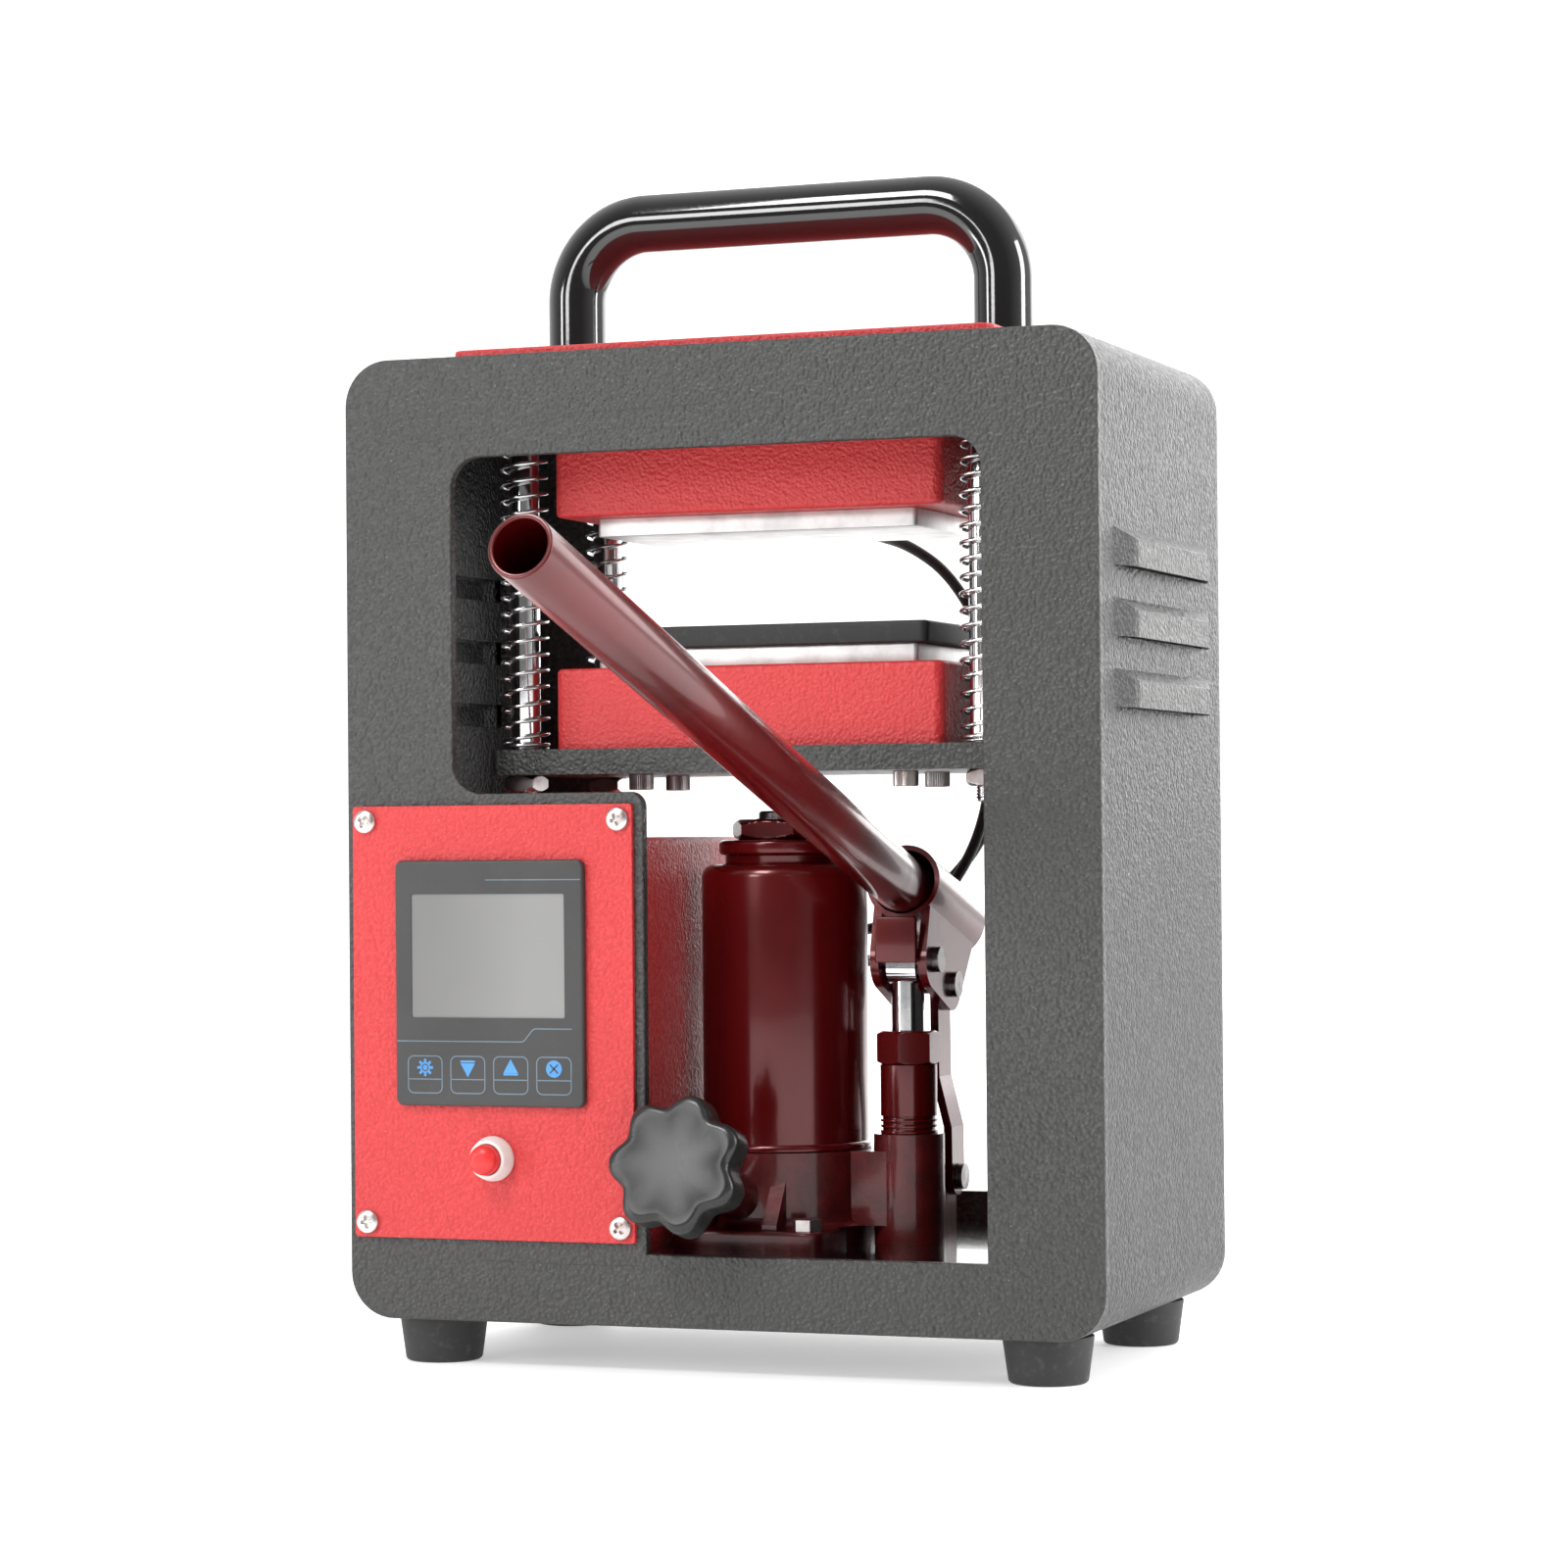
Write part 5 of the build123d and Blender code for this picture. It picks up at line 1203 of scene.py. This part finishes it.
@dataclass
class Jack:
    """The bottle jack: its reservoir, its cap nut and the cove round its base."""

    reservoir: float = 33.0
    wall: float = 2.5
    top_round: float = 5.0
    lid: float = 3.5                # thickness of the reservoir's top
    lid_bore: float = 22.0
    bead: float = 0.9               # how proud the rolled bead at the reservoir's foot is
    cap_seat: float = 15.9
    cap_depth: float = 12.0         # how far the cap nut goes into the cylinder
    cap_collar_height: float = 3.6
    cap_ring: float = 26.0
    cap_ring_height: float = 5.9
    cap_flats: float = 38.0
    ram: float = 11.1
    boss: float = 35.0
    flange: float = 7.0
    cove: float = 4.0

    def build(self) -> None:
        """Turned surfaces for what the lacquer shines on, and a cove on the casting."""
        axis = middle("reservoir_tube")
        stand = upright((axis.x, axis.y, 0.0))
        z0, z1 = low("reservoir_tube").z / MM, high("reservoir_tube").z / MM
        r, wall, lid, hole = self.reservoir, self.wall, z1 - self.lid, self.lid_bore
        tank = loop(
            (r - wall, z0, 0), (r, z0, 0.4), (r, z1, self.top_round), (hole, z1, 0.5), (hole, lid, 0),
            (r - wall, lid, 1.0),
        )
        proud, sunk = r + self.bead, r - 0.5
        corners = [(sunk, z0, 0), (proud, z0, 0.8), (proud, z0 + 2.6, 1.2), (sunk, z0 + 3.4, 0)]
        rolled = rounded(corners, 6) * MM
        grids = [turned(tank, stand, 128), turned(np.concatenate([rolled, rolled[:1]]), stand, 128)]
        publish(grid_piece("reservoir_shell", grids), "frame", Slot.jack_maroon, "reservoir_tube")
        self.build_cap(stand, z1)
        self.build_cove(stand)

    def build_cap(self, stand: Array, z1: float) -> None:
        """The cap nut: a collar, a rounded ring and a chamfered hexagon."""
        top = high("jack_cap_nut").z / MM
        ring_low = z1 + self.cap_collar_height
        hex_low = ring_low + self.cap_ring_height
        collar, ring, seat, foot = self.cap_ring - 2.5, self.cap_ring, self.cap_seat, z1 - self.cap_depth
        base = loop(
            (self.ram, foot, 0), (seat, foot, 0), (seat, z1, 0), (collar, z1, 0.3), (collar, ring_low, 0.5),
            (ring, ring_low, 1.6), (ring, hex_low, 1.6), (self.ram, hex_low, 0),
        )
        grids = [turned(base, stand, 96), nut(6, self.cap_flats, hex_low, top, self.ram, stand, radians(30))]
        publish(grid_piece("cap_nut_turned", grids, crease=28.0), "frame", Slot.jack_maroon, "jack_cap_nut")

    def build_cove(self, stand: Array) -> None:
        """A concave ring, a quarter circle in section, where the boss meets the flange."""
        boss, cove = self.boss, self.cove
        flange = high("floor_plate").z / MM + self.flange
        a = np.linspace(0, pi / 2, 8)
        curve = np.stack([boss + cove * (1 - np.sin(a)), flange + cove * (1 - np.cos(a))], -1)
        section = np.concatenate([[(boss - 1, flange - 0.5)], curve, [(boss - 1, flange + cove)]])
        section = np.concatenate([section, section[:1]]) * MM
        grids = [turned(section, stand, 96)]
        publish(grid_piece("casting_cove", grids), "frame", Slot.jack_cast)


@dataclass
class Pump:
    """The pump barrel beside the jack, with its grooves and hexagon."""

    barrel: float = 11.2
    barrel_height: float = 27.1
    hexagon: float = 22.0
    hexagon_height: float = 13.3
    bore: float = 6.55
    spigot: float = 9.0
    spigot_length: float = 20.0
    groove_first: float = 1.4
    groove_pitch: float = 2.2
    groove_wide: float = 1.1
    groove_deep: float = 0.8

    def build(self) -> None:
        """A turned barrel with three grooves and a chamfered hexagon."""
        axis = middle("pump_body")
        stand = upright((axis.x, axis.y, 0.0))
        top = high("pump_body").z / MM
        hex_low = top - self.hexagon_height
        boss_top = hex_low - self.barrel_height
        foot = boss_top - self.spigot_length
        rows = [(self.bore, foot, 0), (self.spigot, foot, 0), (self.spigot, boss_top, 0)]
        rows.append((self.barrel, boss_top, 0.3))
        for step in range(3):
            z = boss_top + self.groove_first + self.groove_pitch * step
            end, root = z + self.groove_wide, self.barrel - self.groove_deep
            rows += [(self.barrel, z, 0.2), (root, z, 0.2), (root, end, 0.2), (self.barrel, end, 0.2)]
        rows += [(self.barrel, hex_low, 0), (self.bore, hex_low, 0)]
        grids = [turned(loop(*rows), stand, 96), nut(6, self.hexagon, hex_low, top, self.bore, stand)]
        publish(grid_piece("pump_barrel", grids, crease=28.0), "frame", Slot.jack_maroon, "pump_body")


@dataclass
class PumpHandle:
    """The long hollow handle, and the web that joins its socket's two cheeks in front of the plunger."""

    wall: float = 1.8
    lip: float = 0.5
    web_gap: float = 3.8            # between the plunger's eye and the web, for the eye's corners to turn in
    web_thickness: float = 2.2
    web_half: float = 8.6
    web_foot: float = 1.5           # below the plunger's pin
    web_height: float = 18.0

    def build_web(self) -> None:
        """A rounded plate across the cheeks, from the socket's underside to just below the pin."""
        eye_low, eye_high = low("pump_plunger"), high("pump_plunger")
        axis = (eye_low + eye_high) / 2
        pin = eye_high.z - (eye_high.y - eye_low.y) / 2
        back = eye_low.y - self.web_gap * MM
        front = back - self.web_thickness * MM
        middle_y = (front + back) / 2
        foot = pin - self.web_foot * MM
        plate = slab(
            2 * self.web_half * MM, self.web_thickness * MM, foot, foot + self.web_height * MM,
            Vector((axis.x, middle_y, 0)), 0.9 * MM, 0.5 * MM,
        )
        publish(grid_piece("socket_web", [plate]), "socket", Slot.jack_maroon)

    def build(self) -> None:
        """A tube with rounded lips, on the axis that its box gives."""
        slide = next(joint for joint in frame["joints"] if joint["name"] == "handle_pull")
        axis = np.array(slide["axis"])
        near, far = low("handle_tube"), high("handle_tube")
        r = (far.x - near.x) / 2
        front = Vector(((near.x + far.x) / 2, near.y + r * axis[2], far.z + r * axis[1]))
        back = Vector(((near.x + far.x) / 2, far.y - r * axis[2], near.z - r * axis[1]))
        length = (front - back).length / MM
        outer, inner = r / MM, r / MM - self.wall
        profile = loop(
            (inner, 0, self.lip), (outer, 0, self.lip), (outer, length, self.lip), (inner, length, self.lip),
        )
        grid = turned(profile, upright(back, axis), 96)
        publish(grid_piece("handle_pipe", [grid]), "handle", Slot.jack_maroon, "handle_tube")


@dataclass
class ReleaseKnob:
    """The seven-lobed knob of the release valve."""

    lobes: int = 7
    radius: float = 27.0
    scallop: float = 4.6
    thickness: float = 15.0
    dome: float = 0.9               # how proud the middle of the face is
    hub: float = 9.0
    hub_length: float = 6.0

    def build(self) -> None:
        """A star whose reach falls into seven round hollows.

        The reach at each angle is the radius less the scallop times a raised cosine of seven times the
        angle, sharpened so that the lobes are broad and the hollows round.  The face is a shallow dome.
        """
        turning = next(joint for joint in frame["joints"] if joint["name"] == "valve_turn")
        axis = np.array(turning["axis"])
        near, far = low("star_knob"), high("star_knob")
        face = Vector(turning["pos_m"])
        along = (Vector(((near + far) / 2)) - face).dot(Vector(axis))
        front = face + Vector(axis) * (along + (self.thickness + self.hub_length) / 2 * MM)
        place = upright(front, axis)
        place[0], place[1] = np.array([-1.0, 0, 0]), np.cross(axis, [-1.0, 0, 0])
        angle = np.arange(210) / 210 * TAU
        wave = 0.5 - 0.5 * np.cos(self.lobes * angle)
        reach = (self.radius - self.scallop * wave**1.25) / self.radius
        r, t = self.radius, self.thickness
        a = np.linspace(0, pi / 2, 8)
        flat = 0.86
        rows = [(d * r, self.dome * (1 - (d / flat) ** 2), d / flat) for d in np.linspace(0.0, flat, 9)]
        rows += [(r * 0.87 + (r * 0.13) * sin(k), -3.4 * (1 - cos(k)), 1.0) for k in a]
        rows += [(r, -t + 2.6, 1.0)]
        rows += [(r - 2.2 * (1 - cos(k)), -t + 2.2 * (1 - sin(k)), 1.0) for k in a]
        hub, end = self.hub, -t - self.hub_length
        rows += [(hub + 2.0, -t, 0.6), (hub, -t - 1.2, 0.0), (hub, end + 0.6, 0.0)]
        rows += [(hub - 0.6, end, 0.0), (0.0, end, 0.0)]
        table = np.array(rows)
        shape = 1 + (reach[None] - 1) * table[:, 2:]
        radius = table[:, :1] * shape
        height = np.repeat(table[:, 1:2], len(angle), axis=1)
        local = np.stack([radius * np.cos(angle), radius * np.sin(angle), height], -1) * MM
        knob = grid_piece("lobed_knob", [put(local, place)], crease=50.0)
        publish(knob, "valve", Slot.knob_black, "star_knob")


@dataclass
class Leads:
    """The two platens' leads, each from its gland to its grommet, on one smooth curve."""

    radius: float = 2.25 * MM
    upper_route: tuple[tuple[float, float, float], ...] = (
        (0.020, 0.12485, 0.3111), (0.020, 0.140, 0.3111), (0.029, 0.153, 0.3075), (0.043, 0.161, 0.296),
        (0.057, 0.163, 0.272), (0.066, 0.163, 0.240), (0.065, 0.163, 0.206), (0.051, 0.162, 0.177),
        (0.025, 0.161, 0.155), (-0.003, 0.160, 0.1455), (-0.0505, 0.160, 0.1455),
    )
    lower_route: tuple[tuple[float, float, float], ...] = (
        (0.056, 0.13595, 0.243), (0.056, 0.1498, 0.243), (0.058, 0.1595, 0.2333), (0.060, 0.1595, 0.219),
        (0.060, 0.157, 0.200), (0.053, 0.154, 0.178), (0.038, 0.152, 0.157), (0.018, 0.150, 0.139),
        (-0.004, 0.150, 0.131), (-0.0505, 0.150, 0.131),
    )

    def line(self, name: str, route: Sequence[tuple[float, float, float]]) -> Array:
        """Points along the smooth spline whose control points are the route's."""
        curve = bpy.data.curves.new(name + "_line", "CURVE")
        curve.dimensions = "3D"
        curve.resolution_u = 14
        spline = curve.splines.new("NURBS")
        spline.points.add(len(route) - 1)
        places = np.array(route) + BENCH
        spline.points.foreach_set("co", np.c_[places, np.ones(len(route))].ravel())
        spline.order_u = 3
        spline.use_endpoint_u = True
        holder = bpy.data.objects.new(name + "_line", curve)
        mesh = bpy.data.meshes.new_from_object(holder)
        points = np.zeros(len(mesh.vertices) * 3)
        mesh.vertices.foreach_get("co", points)
        bpy.data.meshes.remove(mesh)
        bpy.data.objects.remove(holder)
        bpy.data.curves.remove(curve)
        return points.reshape(-1, 3)

    def build(self) -> None:
        """Both leads with their glands."""
        self.gland("upper_lead_gland", "frame", 3.4)
        self.gland("lower_lead_gland", "lift", 4.4)
        upper = self.tube("upper_lead_sleeve", self.upper_route)
        publish(upper, "frame", Slot.lead_black, "upper_lead")
        lower = self.tube("lower_lead_sleeve", self.lower_route)
        dress(lower, Paint.of(Slot.lead_black))
        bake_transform(lower)
        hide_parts("lower_lead")
        LOG.info("%s bends between frame and lift", lower.name)

    def tube(self, name: str, route: Sequence[tuple[float, float, float]]) -> Piece:
        """One lead's sleeve, at its real length and thickness."""
        path = self.line(name, route)
        grid, rows = tube(path, np.full(len(path), self.radius), 16)
        piece = grid_piece(name, [grid], along=rows, crease=60.0)
        length = float(np.linalg.norm(np.diff(path, axis=0), axis=1).sum())
        return piece

    def gland(self, node: str, body: str, radius: float) -> None:
        """A small clamp sleeve with a waist, where a lead leaves its platen."""
        near, far = low(node), high(node)
        centre = (near + far) / 2
        length = (far.y - near.y) / MM
        inner, waist = self.radius / MM - 0.2, radius - 0.5
        profile = loop(
            (inner, 0, 0), (radius, 0, 0.2), (radius, length * 0.35, 0.2), (waist, length * 0.4, 0.2),
            (waist, length * 0.6, 0.2), (radius - 0.1, length * 0.65, 0.2), (radius - 0.4, length, 0.3),
            (inner, length, 0),
        )
        grid = turned(profile, upright((centre.x, near.y, centre.z), (0, 1, 0)), 48)
        publish(grid_piece(node + "_sleeve", [grid]), body, Slot.rubber, node)


@dataclass
class Studio:
    """A pale sweep of floor, soft lights and the camera."""

    camera_place: tuple[float, float, float] = (0.58552, -1.413634, 0.205022)
    yaw: float = 20.663
    pitch: float = 0.75
    roll: float = -0.5
    lens: float = 95.455
    floor_half: float = 2.6
    sky_front: float = 0.16
    sky_back: float = 0.9

    def build(self) -> None:
        """Everything that isn't the press."""
        self.build_sweep()
        self.build_sky()
        self.build_lights()
        self.build_camera()

    def build_sweep(self) -> None:
        """A floor that turns up into a backdrop behind the press.

        Its profile is level to a metre and a half behind, then a quarter circle, then upright.  It glows a
        little of its own, so that it stays an even white.
        """
        across = np.linspace(-self.floor_half, self.floor_half, 24)
        a = np.linspace(0, pi / 2, 20)
        back, bend, top = 1.5, 0.8, 2.6
        y = np.concatenate([[-2.4, 0.0], back + bend * np.sin(a), [back + bend]])
        z = np.concatenate([[0.0, 0.0], bend * (1 - np.cos(a)), [top]])
        grid = np.stack(np.broadcast_arrays(across[None], y[:, None], z[:, None]), -1)
        sweep = grid_piece("studio_sweep", [grid], round_columns=False, crease=180.0)
        recipe = Recipe("studio_paper")
        cloud = recipe.noise(1.5, 2.0)
        recipe.colour(recipe.blend(cloud, (0.86, 0.86, 0.86), (0.9, 0.9, 0.9)))
        recipe.plain(Roughness=0.6, Specular_IOR_Level=0.2, Emission_Strength=0.42)
        recipe.shader.inputs["Emission Color"].default_value = (1.0, 1.0, 1.0, 1.0)
        dress(sweep, recipe.material)

    def build_sky(self) -> None:
        """A white surround behind and above, falling to a dim grey behind the camera."""
        world = bpy.data.worlds.new("studio_surround")
        world.use_nodes = True
        nodes, links = world.node_tree.nodes, world.node_tree.links
        ground = nodes["Background"]
        split = nodes.new("ShaderNodeSeparateXYZ")
        links.new(nodes.new("ShaderNodeTexCoord").outputs["Generated"], split.inputs[0])
        fall = nodes.new("ShaderNodeMapRange")
        fall.inputs["From Min"].default_value = -0.8
        fall.inputs["From Max"].default_value = 0.1
        fall.inputs["To Min"].default_value = self.sky_front
        fall.inputs["To Max"].default_value = self.sky_back
        links.new(split.outputs["Y"], fall.inputs["Value"])
        links.new(fall.outputs[0], ground.inputs["Strength"])
        ground.inputs["Color"].default_value = (1.0, 1.0, 1.0, 1.0)
        bpy.context.scene.world = world

    def lamp(
        self,
        name: str,
        place: Sequence[float],
        aim: Sequence[float],
        width: float,
        tall: float,
        power: float,
    ) -> None:
        """One soft rectangular light.

        Args:
            name: the lamp's name.
            place: where it hangs.
            aim: the point that it faces.
            width: its width.
            tall: its height.
            power: its power, in watts.
        """
        data = bpy.data.lights.new(name, "AREA")
        data.shape = "RECTANGLE"
        data.size, data.size_y = width, tall
        data.energy = power
        lamp = bpy.data.objects.new(name, data)
        lamp.location = place
        ahead = Vector(aim) - Vector(place)
        lamp.rotation_euler = ahead.to_track_quat("-Z", "Y").to_euler()
        bpy.context.scene.collection.objects.link(lamp)

    def build_lights(self) -> None:
        """A key from above, two fills from the left, a strip on the right and a wide light behind."""
        self.lamp("key_softbox", (-0.5, -1.5, 1.9), (0, 0, 0.25), 0.7, 0.7, 30.0)
        self.lamp("low_fill", (-1.7, -1.5, 0.35), (0, 0, 0.2), 0.3, 1.0, 13.0)
        self.lamp("knob_fill", (-0.75, -1.65, 0.85), (0, 0, 0.1), 0.45, 0.45, 7.0)
        self.lamp("side_strip", (1.7, 0.3, 0.8), (0.1, 0.1, 0.2), 0.5, 1.2, 26.0)
        self.lamp("back_panel", (0.2, 1.6, 0.9), (0, 0.1, 0.25), 2.2, 1.4, 22.0)

    def build_camera(self) -> None:
        """The camera, from its heading, its tilt and its small roll."""
        a, p, r = radians(self.yaw), radians(self.pitch), radians(self.roll)
        ahead = Vector((-sin(a) * cos(p), cos(a) * cos(p), sin(p)))
        level = Vector((cos(a), sin(a), 0.0))
        over = level.cross(ahead)
        right = level * cos(r) + over * sin(r)
        up = over * cos(r) - level * sin(r)
        data = bpy.data.cameras.new("camera")
        data.lens = self.lens
        data.sensor_width = 36.0
        camera = bpy.data.objects.new("camera", data)
        turn = Matrix((right, up, -ahead)).transposed().to_4x4()
        camera.matrix_world = Matrix.Translation(self.camera_place) @ turn
        bpy.context.scene.collection.objects.link(camera)
        bpy.context.scene.camera = camera
        bpy.context.scene.view_settings.view_transform = "Standard"


def dress_frame() -> None:
    """Give every CAD node the finish of its slot."""
    for part in frame["record"]["subparts"]:
        dress(frame["nodes"][part["node"]], Paint.of(Slot[part["material_slot"]]))
        LOG.info("%s is finished in %s", part["node"], part["material_slot"])


def main() -> None:
    """Dress the frame, then build each sub-assembly and the studio."""
    logging.basicConfig(level=logging.INFO, format="%(name)s: %(message)s")
    dress_frame()
    Studio().build()
    Leads().build()
    casing = Casing()
    casing.dress_sheets()
    casing.build_scuffs()
    casing.build_feet()
    TopHandle().build()
    PressGuide().build()
    Platens().build()
    Controls().build()
    Jack().build()
    Pump().build()
    handle = PumpHandle()
    handle.build()
    handle.build_web()
    ReleaseKnob().build()


if __name__ == "__main__":
    main()
